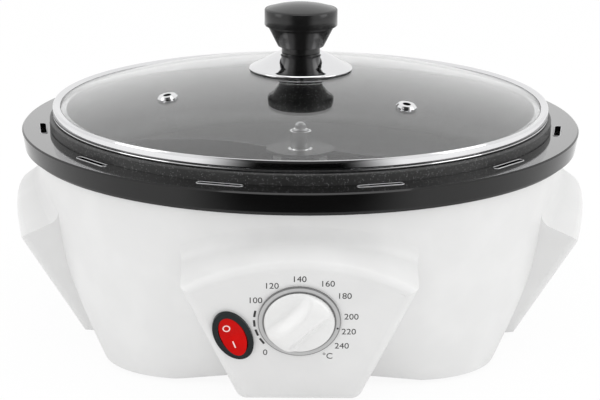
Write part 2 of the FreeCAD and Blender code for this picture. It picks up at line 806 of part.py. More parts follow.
# Under the pan: a ring heater, a heat shield on studs, and the gear motor on the base
def make_heat():
    centre = pan_under - S.heater_tube_radius - S.seat_gap
    torus = doc.addObject("Part::Torus", "heater_loop")
    bind(torus, "Radius1", S.heater_ring_radius)
    bind(torus, "Radius2", S.heater_tube_radius)
    torus.Angle3 = 330.0
    move(torus, z=centre, turn=Rotation(Vector(0, 0, 1), 105))
    ends = []
    for index, degrees in enumerate((105, 75)):
        angle = math.radians(degrees)
        x = S.heater_ring_radius * math.cos(angle)
        y = S.heater_ring_radius * math.sin(angle)
        ends.append(cylinder("heater_leg_%d" % index, S.heater_tube_radius, 22, x, y, centre - 22))
    keep(fuse("heating_element", [torus] + ends), "heating_element")
    shield_top = pan_under - S.shield_drop
    edge_high = shield_top + 5
    shield = turned("shield_body", [
        (16, shield_top - S.shield_sheet), (16, shield_top),
        (S.shield_radius - 2, shield_top), (S.shield_radius - S.shield_sheet, edge_high),
        (S.shield_radius, edge_high), (S.shield_radius - 1, shield_top - S.shield_sheet),
    ])
    openings = []
    for index, degrees in enumerate((105, 75)):
        angle = math.radians(degrees)
        openings.append(cylinder("shield_leg_hole_%d" % index, S.heater_tube_radius + 1.5, 4,
                                 S.heater_ring_radius * math.cos(angle),
                                 S.heater_ring_radius * math.sin(angle), shield_top - 2))
    studs = []
    nuts = []
    for index in range(3):
        angle = math.radians(30 + 120 * index)
        x = S.stud_circle * math.cos(angle)
        y = S.stud_circle * math.sin(angle)
        openings.append(cylinder("shield_stud_hole_%d" % index, S.stud_radius + 0.3, 4,
                                 x, y, shield_top - 2))
        stud = cylinder("stud_%d" % index, S.stud_radius, S.shield_drop + 5,
                        x, y, pan_under - S.shield_drop - 5)
        collar = cylinder("stud_collar_%d" % index, S.stud_radius + 1.5, S.shield_drop, x, y,
                          shield_top)
        studs.append(fuse("pan_stud_%d" % index, [stud, collar]))
        nut = doc.addObject("Part::Prism", "shield_nut_block_%d" % index)
        nut.Polygon = 6
        nut.Circumradius = 4.2
        nut.Height = 3.0
        move(nut, x, y, shield_top - S.shield_sheet - 3)
        bore = cylinder("shield_nut_bore_%d" % index, S.stud_radius + 0.02, 5,
                        x, y, shield_top - S.shield_sheet - 4)
        nuts.append(cut("shield_nut_%d" % index, nut, bore))
    keep(cut("heat_shield", shield, fuse("shield_holes", openings)), "heat_shield")
    keep(group("pan_studs", studs), "pan_studs")
    keep(group("shield_nuts", nuts), "shield_nuts")


make_heat()


def make_motor():
    """A flat motor and its gearbox, whose nose takes the foot of the shaft."""
    gear_low = base_top + S.motor_height
    gear_high = gear_low + S.gearbox_height
    keep(cylinder("motor_block", S.motor_radius, S.motor_height, z=base_top), "motor_can")
    gearbox = cylinder("gearbox_block", S.motor_radius - 3, S.gearbox_height, z=gear_low)
    nose = cylinder("gearbox_nose", S.shaft_radius + 4, S.nose_height, z=gear_high)
    bore = cylinder("gearbox_bore", S.shaft_radius + S.run_clearance,
                    S.nose_height + 6, z=gear_high - 4)
    keep(cut("gearbox", fuse("gearbox_whole", [gearbox, nose]), bore), "gearbox")


make_motor()


# The base plate closes the bowl from below, held by four screws, on four rubber feet
def make_base():
    half_x = S.bowl_base_half_x - S.bowl_wall - S.base_gap
    half_y = S.bowl_base_half_y - S.bowl_wall - S.base_gap
    corner = S.bowl_base_corner - S.bowl_wall - S.base_gap
    sketch = rounded_square("base_outline", half_x, half_y, corner, S.base_lift)
    plate = doc.addObject("Part::Extrusion", "base_blank")
    plate.Base = sketch
    plate.DirMode = "Custom"
    plate.Dir = Vector(0, 0, 1)
    bind(plate, "LengthFwd", S.base_sheet)
    plate.Solid = True
    holes = []
    screws = []
    feet = []
    for index, (x, y) in enumerate(corner_places(S.post_reach, S.post_reach)):
        holes.append(cylinder("base_hole_%d" % index, 1.9, 6, x, y, S.base_lift - 2))
        head = cylinder("screw_head_%d" % index, 3.2, 2, x, y, S.base_lift - 2)
        shank = cylinder("screw_shank_%d" % index, 1.25, 12, x, y, S.base_lift - 1)
        screws.append(fuse("base_screw_%d" % index, [head, shank]))
    for index, (x, y) in enumerate(corner_places(S.post_reach - 16, S.post_reach + 6)):
        holes.append(cylinder("foot_hole_%d" % index, 3.2, 6, x, y, S.base_lift - 2))
        pad = cone("foot_pad_%d" % index, S.foot_radius - 1, S.foot_radius, S.base_lift, x, y)
        stem = cylinder("foot_stem_%d" % index, 3.0, base_top + 1, x, y)
        feet.append(fuse("foot_%d" % index, [pad, stem]))
    for column in range(-3, 4):
        for row_side in (-1, 1):
            vent = box("vent_%d_%d" % (column + 3, row_side + 1), 3, 26, 6,
                       column * 9.0 - 1.5, row_side * 60 - 13, S.base_lift - 2)
            holes.append(vent)
    keep(cut("base_plate", plate, fuse("base_holes", holes)), "base_plate")
    keep(group("base_screws", screws), "base_screws")
    keep(group("rubber_feet", feet), "rubber_feet")


make_base()


# The control panel: thermostat with its dial, and the rocker switch
def make_thermostat():
    """The thermostat behind the panel and the stem of its shaft."""
    wall = S.bowl_wall
    centre = (as_size(0.0), S.dial_height)
    can = cylinder("thermostat_can", S.thermostat_radius, S.thermostat_depth)
    on_panel(can, *centre, (wall + S.thermostat_depth).value + 0.1)
    neck = cylinder("thermostat_neck", 4.8, wall + 2)
    on_panel(neck, *centre, wall.value + 1)
    bore = cylinder("thermostat_bore", S.shaft_radius + S.run_clearance, wall + 14)
    on_panel(bore, *centre, wall.value + 8)
    keep(cut("thermostat", fuse("thermostat_whole", [can, neck]), bore), "thermostat")
    stem = cylinder("stem", S.shaft_radius, wall + 14)
    on_panel(stem, *centre, wall.value + 6)
    keep(stem, "thermostat_shaft")


def make_dial():
    """The grey ring on the panel and the dial with its raised grip."""
    centre = (as_size(0.0), S.dial_height)
    disc = cylinder("dial_ring_disc", S.dial_ring_radius, S.dial_ring_depth)
    on_panel(disc, *centre, 0.0)
    hole = cylinder("dial_ring_hole", 5.2, 6)
    on_panel(hole, *centre, 2.0)
    keep(cut("dial_ring", disc, hole), "dial_ring")
    lift = S.dial_ring_depth.value + 0.4
    plate = cylinder("dial_plate", S.dial_radius, S.dial_base_depth - lift)
    on_panel(plate, *centre, -lift)
    grip = box("dial_grip", S.dial_radius * 2, S.dial_grip_width, S.dial_grip_depth - lift)
    on_panel(grip, *centre, -lift, 45)
    aside = Vector(-S.dial_radius.value, -S.dial_grip_width.value / 2, 0)
    grip.Placement = grip.Placement.multiply(Placement(aside, Rotation()))
    limit = cylinder("dial_limit", S.dial_radius, S.dial_grip_depth)
    on_panel(limit, *centre, -lift)
    grip_round = common("dial_grip_round", [grip, limit])
    socket = cylinder("dial_socket", S.shaft_radius + 0.05, 8.3)
    on_panel(socket, *centre, -lift + 0.5)
    keep(cut("dial_knob", fuse("dial_whole", [plate, grip_round]), socket), "dial_knob")


def make_switch():
    """The oval switch with its bezel, and the rocker that tilts in it."""
    place = (S.switch_x, S.switch_height)
    spin = 90 + S.switch_lean.value
    bezel = oval("bezel_block", S.bezel_long, S.bezel_short, S.bezel_depth)
    on_panel(bezel, *place, 0.0, spin)
    tube = oval("bezel_tube", S.bezel_long - 2.3, S.bezel_short - 1.9, 16)
    on_panel(tube, *place, 15.5, spin)
    pocket = oval("bezel_pocket", S.rocker_long + S.rocker_gap, S.rocker_short + S.rocker_gap, 14)
    on_panel(pocket, *place, 8.0, spin)
    keep(cut("switch_body", fuse("switch_whole", [bezel, tube]), pocket), "switch_body")
    block = oval("rocker_oval", S.rocker_long, S.rocker_short, 9)
    move(block, z=-4)
    side_view = doc.addObject("Sketcher::SketchObject", "rocker_side")
    end = S.rocker_long + 1
    high = S.bezel_depth + 1.2
    outline(side_view, [
        (-end, high), (0, high - 1.4), (end, high), (end, -1.5), (2, -3.5), (-2, -3.5),
        (-end, -1.5),
    ])
    move(side_view, y=S.rocker_short + 1, turn=Rotation(Vector(1, 0, 0), 90))
    slab = doc.addObject("Part::Extrusion", "rocker_slab")
    slab.Base = side_view
    slab.DirMode = "Normal"
    bind(slab, "LengthFwd", S.rocker_short * 2 + 2)
    slab.Solid = True
    rocker = common("rocker_block", [block, slab])
    rest = Placement(Vector(0, 0, 0), Rotation(Vector(0, 1, 0), S.rocker_rest.value))
    on_panel(rocker, *place, 0.0, spin)
    rocker.Placement = rocker.Placement.multiply(rest)
    keep(rocker, "rocker")


def make_grommet():
    """The bushing in the wing behind, square to its face, where a mains lead goes in."""
    slope = wing_slope(S.handle_foot_reach)
    reach = S.handle_foot_reach + (S.grommet_height - S.foot_lift) * slope
    lean = math.degrees(math.atan(slope))
    turn = Rotation(Vector(1, 0, 0), -90 - lean)
    out = Vector(0, math.cos(math.radians(lean)), -math.sin(math.radians(lean)))
    pieces = []
    sizes = (("barrel", S.grommet_radius, 12.0, 10.0), ("collar", S.grommet_radius + 2, 2.5, 0.0),
             ("bore", S.grommet_radius - 2, 30.0, 15.0))
    for name, radius, length, depth in sizes:
        piece = cylinder("grommet_" + name, radius, length)
        spot = Vector(0, reach.value, S.grommet_height.value) - out * depth
        piece.Placement = Placement(spot, turn)
        pieces.append(piece)
    barrel, collar, bore = pieces
    keep(cut("cord_grommet", fuse("grommet_whole", [barrel, collar]), bore), "cord_grommet")


make_thermostat()
make_dial()
make_switch()
make_grommet()


# The lid: domed glass in a rolled steel rim, steam eyelets, chrome disc and black knob
def dome_height(radius):
    """Top of the glass above the deck at a distance from the middle."""
    edge = S.rim_bottom_radius.value - 2.0
    rise = S.dome_rise.value - S.dome_edge_rise.value
    sphere = (edge * edge + rise * rise) / (2 * rise)
    return S.dome_rise.value - (sphere - math.sqrt(sphere * sphere - radius * radius))


def make_lid():
    edge = S.rim_bottom_radius - 2.0
    rise = S.dome_rise - S.dome_edge_rise
    sphere = (edge * edge + rise * rise) / (2 * rise)
    centre = deck + S.dome_rise - sphere
    outer = doc.addObject("Part::Sphere", "dome_outer")
    bind(outer, "Radius", sphere)
    move(outer, z=centre)
    inner = doc.addObject("Part::Sphere", "dome_inner")
    bind(inner, "Radius", sphere - S.glass_sheet)
    move(inner, z=centre)
    shell_ball = cut("dome_shell", outer, inner)
    pillar = cylinder("dome_pillar", edge - 0.5, 60, z=deck)
    dome = common("dome", [shell_ball, pillar])
    centre_hole = cylinder("dome_hole", 3.2, 60, z=deck)
    eyelets = []
    holes = [centre_hole]
    for index, degrees in enumerate((-90 - 58.5, -90 + 42.0)):
        angle = math.radians(degrees)
        x = S.eyelet_circle * math.cos(angle)
        y = S.eyelet_circle * math.sin(angle)
        tilt = math.degrees(math.asin(S.eyelet_circle.value / sphere.value))
        turn = Rotation(Vector(-math.sin(angle), math.cos(angle), 0), tilt)
        height = deck + dome_height(S.eyelet_circle.value)
        normal = Vector(math.sin(math.radians(tilt)) * math.cos(angle),
                        math.sin(math.radians(tilt)) * math.sin(angle),
                        math.cos(math.radians(tilt)))
        spot = Vector(x.value, y.value, height.value)
        eyelets.append(eyelet(index, spot, normal, turn))
        hole = cylinder("eyelet_hole_%d" % index, S.eyelet_radius + 0.3, 30)
        hole.Placement = Placement(spot - normal * 15, turn)
        holes.append(hole)
    keep(cut("lid_glass", dome, fuse("glass_holes", holes)), "lid_glass")
    keep(group("vent_eyelets", eyelets), "vent_eyelets")

    seat = lid_seat + S.seat_gap
    top = seat + S.rim_height
    rim_in = S.rim_bottom_radius - S.rim_width
    lip_in = S.rim_bottom_radius - 3.5
    body = turned("rim_body", [
        (S.rim_bottom_radius, seat), (S.rim_top_radius, top - 0.7), (S.rim_top_radius - 0.7, top),
        (lip_in, top + 0.3), (lip_in, top - 0.5), (edge - 0.2, top - 0.5),
        (edge - 0.2, seat + 1.4), (rim_in, seat + 1.4), (rim_in, seat),
    ])
    keep(body, "lid_rim")

    disc_edge = deck + dome_height(S.disc_radius.value)
    disc_top = disc_edge + S.disc_rise
    disc = turned("disc_body", [
        (3.2, disc_top - 1.5), (3.2, disc_top), (S.knob_neck_radius + 1, disc_top),
        (S.knob_neck_radius + 3, disc_top - 3), (S.disc_radius - 8, disc_edge + 3.6),
        (S.disc_radius - 1, disc_edge + 1.6), (S.disc_radius, disc_edge + 0.9),
        (S.disc_radius - 0.6, disc_edge + 0.1), (S.disc_radius - 2, disc_edge + 0.3),
        (S.disc_radius - 9, disc_edge + 2.4), (S.knob_neck_radius + 1.6, disc_top - 4.2),
        (S.knob_neck_radius, disc_top - 1.5),
    ])
    keep(disc, "lid_disc")

    knob_top = deck + S.knob_rise
    neck = S.knob_neck_radius
    cap = S.knob_radius
    knob = turned("knob_body", [
        (0, disc_top + 9), (2.0, disc_top + 9), (2.0, disc_top), (neck, disc_top),
        (neck, disc_top + 4), (neck + 2.9, disc_top + 6), (cap - 1.2, disc_top + 12.6),
        (cap, disc_top + 14.6), (cap, knob_top - 5.2), (cap - 1.6, knob_top - 2.6),
        (cap - 5.5, knob_top - 0.9), (0, knob_top),
    ])
    keep(knob, "lid_knob")

    under = deck + S.dome_rise - S.glass_sheet
    screw_head = cylinder("lid_screw_head", 4.0, 2.4, z=under - 1.6 - 2.4)
    screw_shank = cylinder("lid_screw_shank", 1.95, disc_top + 10.5 - under, z=under - 2.0)
    keep(fuse("lid_screw", [screw_head, screw_shank]), "lid_screw")
    washer = cylinder("lid_washer_disc", 8.0, 1.4, z=under - 1.5)
    washer_bore = cylinder("lid_washer_bore", 2.0, 4, z=under - 3)
    ball = cut("lid_washer", washer, washer_bore)
    keep(ball, "lid_washer")


def eyelet(index, spot, normal, turn):
    """A rolled steel eyelet set in the glass, flanged above and below."""
    name = "eyelet_%d" % index
    tube = cylinder(name + "_tube", S.eyelet_radius, S.glass_sheet + 3.0)
    tube.Placement = Placement(spot - normal * (S.glass_sheet.value + 1.6), turn)
    top = cone(name + "_top", S.eyelet_radius + 2.2, S.eyelet_radius + 1.2, 1.2)
    top.Placement = Placement(spot + normal * 0.25, turn)
    low = cylinder(name + "_low", S.eyelet_radius + 1.4, 1.0)
    low.Placement = Placement(spot - normal * (S.glass_sheet.value + 1.3), turn)
    bore = cylinder(name + "_bore", S.eyelet_radius - 1.2, 14)
    bore.Placement = Placement(spot - normal * 9, turn)
    return cut(name, fuse(name + "_whole", [tube, top, low]), bore)


make_lid()

def stand_at_origin():
    """Shift every piece so that the box round the whole is centred on the origin."""
    for label, thing in NODES:
        shift = Placement(Vector(0, S.origin_shift.value, 0), Rotation())
        thing.Placement = shift.multiply(thing.Placement)
    doc.recompute()


stand_at_origin()


# Every feature and every sub-part is tested before anything is written
def check_and_write():
    for thing in doc.Objects:
        if "Invalid" in thing.State or "Error" in thing.State:
            raise RuntimeError("feature failed: " + thing.Name)
    os.makedirs("parts", exist_ok=True)
    for label, thing in NODES:
        shape = thing.Shape
        if shape.isNull() or not shape.isValid():
            raise RuntimeError("sub-part failed: " + label)
        count = len(shape.Solids)
        box_now = shape.BoundBox
        print("%-18s solids %d volume %.0f  x %.1f %.1f  y %.1f %.1f  z %.1f %.1f" % (
            label, count, shape.Volume, box_now.XMin, box_now.XMax, box_now.YMin, box_now.YMax,
            box_now.ZMin, box_now.ZMax))
        shape.exportStep("parts/%s.step" % label)


check_and_write()
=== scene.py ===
# %% [markdown]
# # A home coffee bean roaster
#
# The machine is a white moulded bowl on four wings. A glossy black ring caps the bowl and holds a
# coated pan, in which a stirrer turns, and a domed glass lid rests on the pan. One wing carries
# the dial and a red rocker switch. The frame brings every solid at its true size and place, so
# this script adds the finishes, the soft form of the dial, the turned parts of the lid, the lips
# of the vent slots and the printing.

# %% Load the frame
import json
import math

import bmesh
import bpy
from mathutils import Euler, Matrix, Vector


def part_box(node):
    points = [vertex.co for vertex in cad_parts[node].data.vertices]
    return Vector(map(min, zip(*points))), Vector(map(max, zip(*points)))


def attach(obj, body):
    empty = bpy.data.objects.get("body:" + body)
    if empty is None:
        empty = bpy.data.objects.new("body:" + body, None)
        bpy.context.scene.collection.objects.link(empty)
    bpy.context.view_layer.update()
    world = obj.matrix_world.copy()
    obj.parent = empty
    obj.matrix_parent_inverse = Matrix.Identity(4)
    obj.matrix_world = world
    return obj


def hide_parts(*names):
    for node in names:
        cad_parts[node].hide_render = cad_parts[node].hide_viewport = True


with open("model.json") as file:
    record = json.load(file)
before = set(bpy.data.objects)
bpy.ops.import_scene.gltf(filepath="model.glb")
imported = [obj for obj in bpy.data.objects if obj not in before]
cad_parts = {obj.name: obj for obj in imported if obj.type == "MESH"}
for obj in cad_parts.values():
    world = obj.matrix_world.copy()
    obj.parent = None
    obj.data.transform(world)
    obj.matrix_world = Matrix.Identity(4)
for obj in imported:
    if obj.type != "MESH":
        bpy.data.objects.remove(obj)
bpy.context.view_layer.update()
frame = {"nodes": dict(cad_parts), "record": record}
nodes = frame["nodes"]
joints = {joint["name"]: joint for joint in frame["record"]["behaviour"]["joints"]}

# %% [markdown]
# ## Where things are
#
# The pieces added here sit on the CAD pieces, so their places are read from the frame and not
# typed in. The shaft gives the middle, the ring gives the deck, and the dial's own axis gives
# the lean of the control panel.

# %% Read the main places
MILLIMETRE = 0.001

ring_low, ring_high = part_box("top_ring")
deck = ring_high[2]
shaft_y = (ring_low[1] + ring_high[1]) / 2
print("deck", round(deck, 4), "shaft y", round(shaft_y, 4))

# %% The panel's own frame: u to the right, v up the face, n out of it
dial_spot = Vector(joints["dial_turn"]["pos_m"])
panel_out = -Vector(joints["dial_turn"]["axis"]).normalized()
panel_right = Vector((1, 0, 0))
panel_up = panel_out.cross(panel_right)


def frame_of(spot, right, up, out):
    """A matrix that takes u, v, n to the row frame."""
    turn = Matrix((right, up, out)).transposed().to_4x4()
    return Matrix.Translation(spot) @ turn


panel = frame_of(dial_spot, panel_right, panel_up, panel_out)
print("panel leans", round(math.degrees(math.asin(-panel_out.z)), 2), "degrees")

# %% [markdown]
# ## Shader maths in plain Python
#
# A node tree is hard to read as links, so a small class wraps one socket and lets Python's own
# signs build the Math nodes. Everything else comes from one method that makes a node, sets what
# it is told and hands back its output.

# %% A socket that can be added and multiplied


class Value:
    """A socket of numbers in one look's node tree."""

    def __init__(self, look, socket):
        self.look = look
        self.socket = socket

    def math(self, operation, *others):
        inputs = dict(enumerate((self,) + others))
        return self.look.node("ShaderNodeMath", {"operation": operation}, inputs)

    def __add__(self, other):
        return self.math("ADD", other)

    def __radd__(self, other):
        return self.math("ADD", other)

    def __sub__(self, other):
        return self.math("SUBTRACT", other)

    def __rsub__(self, other):
        return self.look.node("ShaderNodeMath", {"operation": "SUBTRACT"}, {0: other, 1: self})

    def __mul__(self, other):
        return self.math("MULTIPLY", other)

    def __rmul__(self, other):
        return self.math("MULTIPLY", other)

    def __truediv__(self, other):
        return self.math("DIVIDE", other)

    def between(self, low, high):
        """0 below low, 1 above high, and smooth from one to the other."""
        inputs = {"Value": self, "From Min": low, "From Max": high}
        settings = {"interpolation_type": "SMOOTHSTEP"}
        return self.look.node("ShaderNodeMapRange", settings, inputs)


# %% A look: one material and its nodes
MIX_AMOUNT, MIX_FIRST, MIX_SECOND, MIX_COLOUR = 0, 6, 7, 2


class Look:
    """A material, or the world, whose nodes are made by one method."""

    def __init__(self, name, owner=None):
        self.material = owner or bpy.data.materials.new(name)
        self.material.use_nodes = True
        self.tree = self.material.node_tree
        self.tree.nodes.clear()

    def node(self, kind, settings=None, inputs=None, output=0):
        """Make a node, set its settings first, then its sockets, and give one output."""
        made = self.tree.nodes.new(kind)
        for key, value in (settings or {}).items():
            setattr(made, key, value)
        for key, value in (inputs or {}).items():
            socket = made.inputs[key]
            if isinstance(value, Value):
                self.tree.links.new(value.socket, socket)
            else:
                socket.default_value = value
        return Value(self, made.outputs[output]) if made.outputs else None

    def place(self):
        """The point on the surface, in the piece's own frame."""
        return self.node("ShaderNodeTexCoord", output="Object")

    def noise(self, scale, detail=2.0):
        """Soft clouds between 0 and 1; a larger scale makes them finer."""
        inputs = {"Vector": self.place(), "Scale": scale, "Detail": detail}
        return self.node("ShaderNodeTexNoise", {}, inputs)

    def vectors(self, operation, *inputs, output="Vector"):
        """A Vector Math node."""
        numbered = dict(enumerate(inputs))
        return self.node("ShaderNodeVectorMath", {"operation": operation}, numbered, output)

    def blend(self, amount, first, second):
        """A colour between two colours."""
        inputs = {MIX_AMOUNT: amount, MIX_FIRST: first, MIX_SECOND: second}
        return self.node("ShaderNodeMix", {"data_type": "RGBA"}, inputs, MIX_COLOUR)

    def bump(self, height, strength, depth):
        """A normal tilted by fine relief, whose depth is in metres."""
        inputs = {"Height": height, "Strength": strength, "Distance": depth}
        return self.node("ShaderNodeBump", {}, inputs)

    def surface(self, **sockets):
        """The Principled shader with these sockets, sent to the output."""
        names = {key.replace("_", " ").title().replace("Ior", "IOR"): value
                 for key, value in sockets.items()}
        shader = self.node("ShaderNodeBsdfPrincipled", {}, names)
        self.node("ShaderNodeOutputMaterial", {}, {"Surface": shader})
        return self.material


def grey(level):
    return (level, level, level, 1.0)


def darker(colour, share):
    """The same colour, times a share."""
    return tuple(part * share for part in colour[:3]) + (1.0,)


print("grey 0.5 is", grey(0.5))

# %% [markdown]
# ## The finishes
#
# Most of the machine is moulded plastic. Real mouldings are never dead flat: the tool leaves a
# fine skin that softens reflections unevenly, so each plastic gets a little drift in roughness
# and a very shallow bump. A flat colour would be quicker and would look like paint.

# %% White and black mouldings
CLOUD_SCALE = 38.0
CLOUD_EDGES = (0.35, 0.7)
CLOUD_DARK = 0.965
SKIN_SCALE = 900.0
SKIN_DEPTH = 0.2 * MILLIMETRE
ROUGH_DRIFT = 0.08
COAT_ROUGHNESS = 0.08


def moulded(name, colour, roughness, skin=0.02, ior=1.5, coat=0.0):
    """A moulded plastic with a fine uneven skin."""
    look = Look(name)
    drift = look.noise(CLOUD_SCALE, 3.0)
    skin_height = look.noise(SKIN_SCALE)
    return look.surface(
        base_color=look.blend(drift.between(*CLOUD_EDGES), darker(colour, CLOUD_DARK), colour),
        roughness=drift * ROUGH_DRIFT + (roughness - ROUGH_DRIFT / 2),
        ior=ior,
        coat_weight=coat,
        coat_roughness=COAT_ROUGHNESS,
        normal=look.bump(skin_height, skin, SKIN_DEPTH),
    )


white_plastic = moulded("white_plastic", (0.77, 0.77, 0.767, 1), 0.36)
dial_plastic = moulded("dial_plastic", (0.82, 0.82, 0.815, 1), 0.24, coat=0.3)
charcoal_plastic = moulded("charcoal_plastic", (0.010, 0.014, 0.015, 1), 0.2, ior=1.3)
base_plastic = moulded("base_plastic", grey(0.03), 0.5)
phenolic = moulded("black_phenolic", grey(0.010), 0.2)
rubber = moulded("black_rubber", grey(0.02), 0.75, skin=0.08)
print("materials so far", len(bpy.data.materials))

# %% [markdown]
# The grey ring round the dial carries two fine dark lines of painted shade, at its inner edge
# by the dial and at its outer edge by the panel, where the gaps lie in shade. Its axis leans with
# the panel, so the distance is taken from that axis.

# %% Grey ring with two lines of painted shade
INNER_SHADE_LINE = (18.8 * MILLIMETRE, 19.3 * MILLIMETRE)
OUTER_SHADE_LINE = (20.7 * MILLIMETRE, 21.1 * MILLIMETRE)


def distance_from_axis(look, spot, direction):
    """Metres from a line through a spot: the length of the cross product with its direction."""
    from_spot = look.vectors("SUBTRACT", look.place(), tuple(spot))
    crossed = look.vectors("CROSS_PRODUCT", from_spot, tuple(direction))
    return look.vectors("LENGTH", crossed, output="Value")


def grey_ring_with_painted_shade():
    look = Look("grey_plastic")
    away = distance_from_axis(look, dial_spot, panel_out)
    # Painted shade: the two dark lines stand for the shade in the gaps at the ring's edges.
    lines = (1 - away.between(*INNER_SHADE_LINE)).math("MAXIMUM", away.between(*OUTER_SHADE_LINE))
    return look.surface(
        base_color=look.blend(lines, grey(0.50), grey(0.17)),
        roughness=look.noise(60.0) * ROUGH_DRIFT + 0.34,
    )


grey_plastic = grey_ring_with_painted_shade()
print("lines on the grey ring at", INNER_SHADE_LINE, OUTER_SHADE_LINE)

# %% [markdown]
# The ring is lacquered sheet. Its upright band stays nearly black, with a pale sheen at the
# sides. Its flat land is buffed harder and turns almost to a mirror at a low angle, so a second
# shader comes in there by the angle of view.

# %% Lacquer black for the ring
HAZE_SCALE = 22.0
HAZE = 0.05
LAND_UPWARD = (0.75, 0.95)
LOW_ANGLE = (0.60, 0.84)
LAND_MIRROR = 0.5


def lacquer():
    look = Look("ring_lacquer")
    haze = look.noise(HAZE_SCALE) * HAZE
    facing = look.node("ShaderNodeLayerWeight", {}, {"Blend": 0.5}, "Facing")
    normal = look.node("ShaderNodeTexCoord", output="Normal")
    upward = look.node("ShaderNodeSeparateXYZ", {}, {"Vector": normal}, "Z")
    share = upward.between(*LAND_UPWARD) * facing.between(*LOW_ANGLE) * LAND_MIRROR
    black = look.node("ShaderNodeBsdfPrincipled", {}, {
        "Base Color": grey(0.004), "Roughness": haze + 0.04, "IOR": 1.43})
    mirror = look.node("ShaderNodeBsdfPrincipled", {}, {
        "Base Color": grey(0.75), "Metallic": 1.0, "Roughness": haze + 0.06})
    mixed = look.node("ShaderNodeMixShader", {}, {0: share, 1: black, 2: mirror})
    look.node("ShaderNodeOutputMaterial", {}, {"Surface": mixed})
    return look.material


ring_black = lacquer()
print("nodes in the lacquer", len(ring_black.node_tree.nodes))

# %% [markdown]
# The pan's coating is dark grey with pale specks of many sizes, and slightly rough to the touch.
# Cells of a Voronoi pattern give specks that differ, and noise picks which of them show.

# %% Speckled non-stick coating
SPECK_SCALE = 1150.0
SPECK_EDGES = (0.15, 0.4)
CHOICE_SCALE = 700.0
CHOICE_EDGES = (0.42, 0.6)
GROUND_SCALE = 60.0
GRAIN_SCALE = 1500.0
GRAIN_STRENGTH = 0.12


def speckled_coating():
    look = Look("speckled_coating")
    cells = look.node("ShaderNodeTexVoronoi", {}, {"Vector": look.place(), "Scale": SPECK_SCALE})
    choice = look.noise(CHOICE_SCALE, 1.0)
    speck = (1 - cells.between(*SPECK_EDGES)) * choice.between(*CHOICE_EDGES)
    cloud = look.noise(GROUND_SCALE, 4.0)
    ground = look.blend(cloud, grey(0.016), grey(0.04))
    return look.surface(
        base_color=look.blend(speck, ground, grey(0.2)),
        roughness=0.42 - speck * 0.1,
        ior=1.5,
        normal=look.bump(look.noise(GRAIN_SCALE), GRAIN_STRENGTH, SKIN_DEPTH),
    )


coating = speckled_coating()
print("nodes in the coating", len(coating.node_tree.nodes))

# %% [markdown]
# The lid's rim and its disc are polished, screws and shafts are plain, and what sits inside is
# dull. All metals share one function, with faint turning marks from a stretched noise.

# %% Metals
MARK_STRETCH = (60, 60, 900)
STAIN_SCALE = 30.0
STAIN_DARK = 0.9
STAIN_ROUGH = 0.04


def metal(name, colour, roughness, marks):
    """A metal whose roughness carries turning marks of a given strength."""
    look = Look(name)
    stretched = look.node("ShaderNodeMapping", {}, {"Vector": look.place(), "Scale": MARK_STRETCH})
    turning = look.node("ShaderNodeTexNoise", {}, {"Vector": stretched, "Scale": 1.0, "Detail": 3.0})
    stain = look.noise(STAIN_SCALE)
    return look.surface(
        base_color=look.blend(stain, darker(colour, STAIN_DARK), colour),
        metallic=1.0,
        roughness=turning * marks + stain * STAIN_ROUGH + roughness,
    )


polished_steel = metal("polished_steel", (0.80, 0.80, 0.81, 1), 0.05, 0.04)
chrome = metal("bright_chrome", (0.83, 0.83, 0.84, 1), 0.03, 0.02)
plain_steel = metal("plain_steel", (0.60, 0.60, 0.61, 1), 0.28, 0.1)
shield_steel = metal("shield_sheet", (0.72, 0.72, 0.73, 1), 0.32, 0.1)
heater_steel = metal("heater_tube", (0.16, 0.15, 0.14, 1), 0.5, 0.1)
motor_steel = metal("motor_steel", (0.45, 0.46, 0.47, 1), 0.35, 0.1)
brass = metal("plain_brass", (0.75, 0.55, 0.25, 1), 0.3, 0.1)
print("materials so far", len(bpy.data.materials))

# %% [markdown]
# The stirrer is one steel pressing, and its colour carries painted light: the blades are near
# black as painted shade, and the cup over the shaft is bright as a painted highlight. The distance
# from the shaft tells the two apart, so one material serves both.

# %% Stirrer
CUP_HIGHLIGHT_EDGE = (6.4 * MILLIMETRE, 7.4 * MILLIMETRE)

stirrer_look = Look("stirrer_steel")
from_shaft = distance_from_axis(stirrer_look, (0, shaft_y, 0), (0, 0, 1))
cup = 1 - from_shaft.between(*CUP_HIGHLIGHT_EDGE)
stirrer_steel = stirrer_look.surface(
    # Painted light: the bright cup is a painted highlight and the near-black blades are painted
    # shade.
    base_color=stirrer_look.blend(cup, grey(0.06), grey(0.92)),
    metallic=1.0,
    roughness=0.42 - cup * 0.20,
)
print("bright cup ends", CUP_HIGHLIGHT_EDGE, "m from the shaft")

# %% [markdown]
# The lid is clear tempered glass, so its whole look is reflection and refraction. The rocker is
# glossy red plastic. Uneven depths of red and a very faint glow stand for the light that sinks
# into a tinted part, because true transmission would need a body and a lamp behind it.

# %% Glass and red plastic
glass_look = Look("lid_glass")
lid_glass = glass_look.surface(
    base_color=(0.97, 0.975, 0.975, 1),
    roughness=0.0,
    transmission_weight=1.0,
    ior=1.5,
)

red_look = Look("rocker_red")
red_depth = red_look.noise(120.0)
rocker_red = red_look.surface(
    base_color=red_look.blend(red_depth, (0.36, 0.001, 0.001, 1), (0.62, 0.004, 0.003, 1)),
    roughness=0.12,
    specular_ior_level=0.08,
    emission_color=(0.6, 0.005, 0.002, 1),
    emission_strength=0.08,
)
print("glass and red ready:", lid_glass.name, rocker_red.name)

# %% [markdown]
# The numbers and marks are printed, near black on the panel and pale on the red rocker. A picture
# of the print would be quicker but blurs close up, so each mark is a thin mesh with an ink of its
# own, a little worn in places.

# %% Inks for the printing
WEAR_SCALE = 1200.0
WEAR_SHARE = 0.25
WEAR_PALER = 0.05


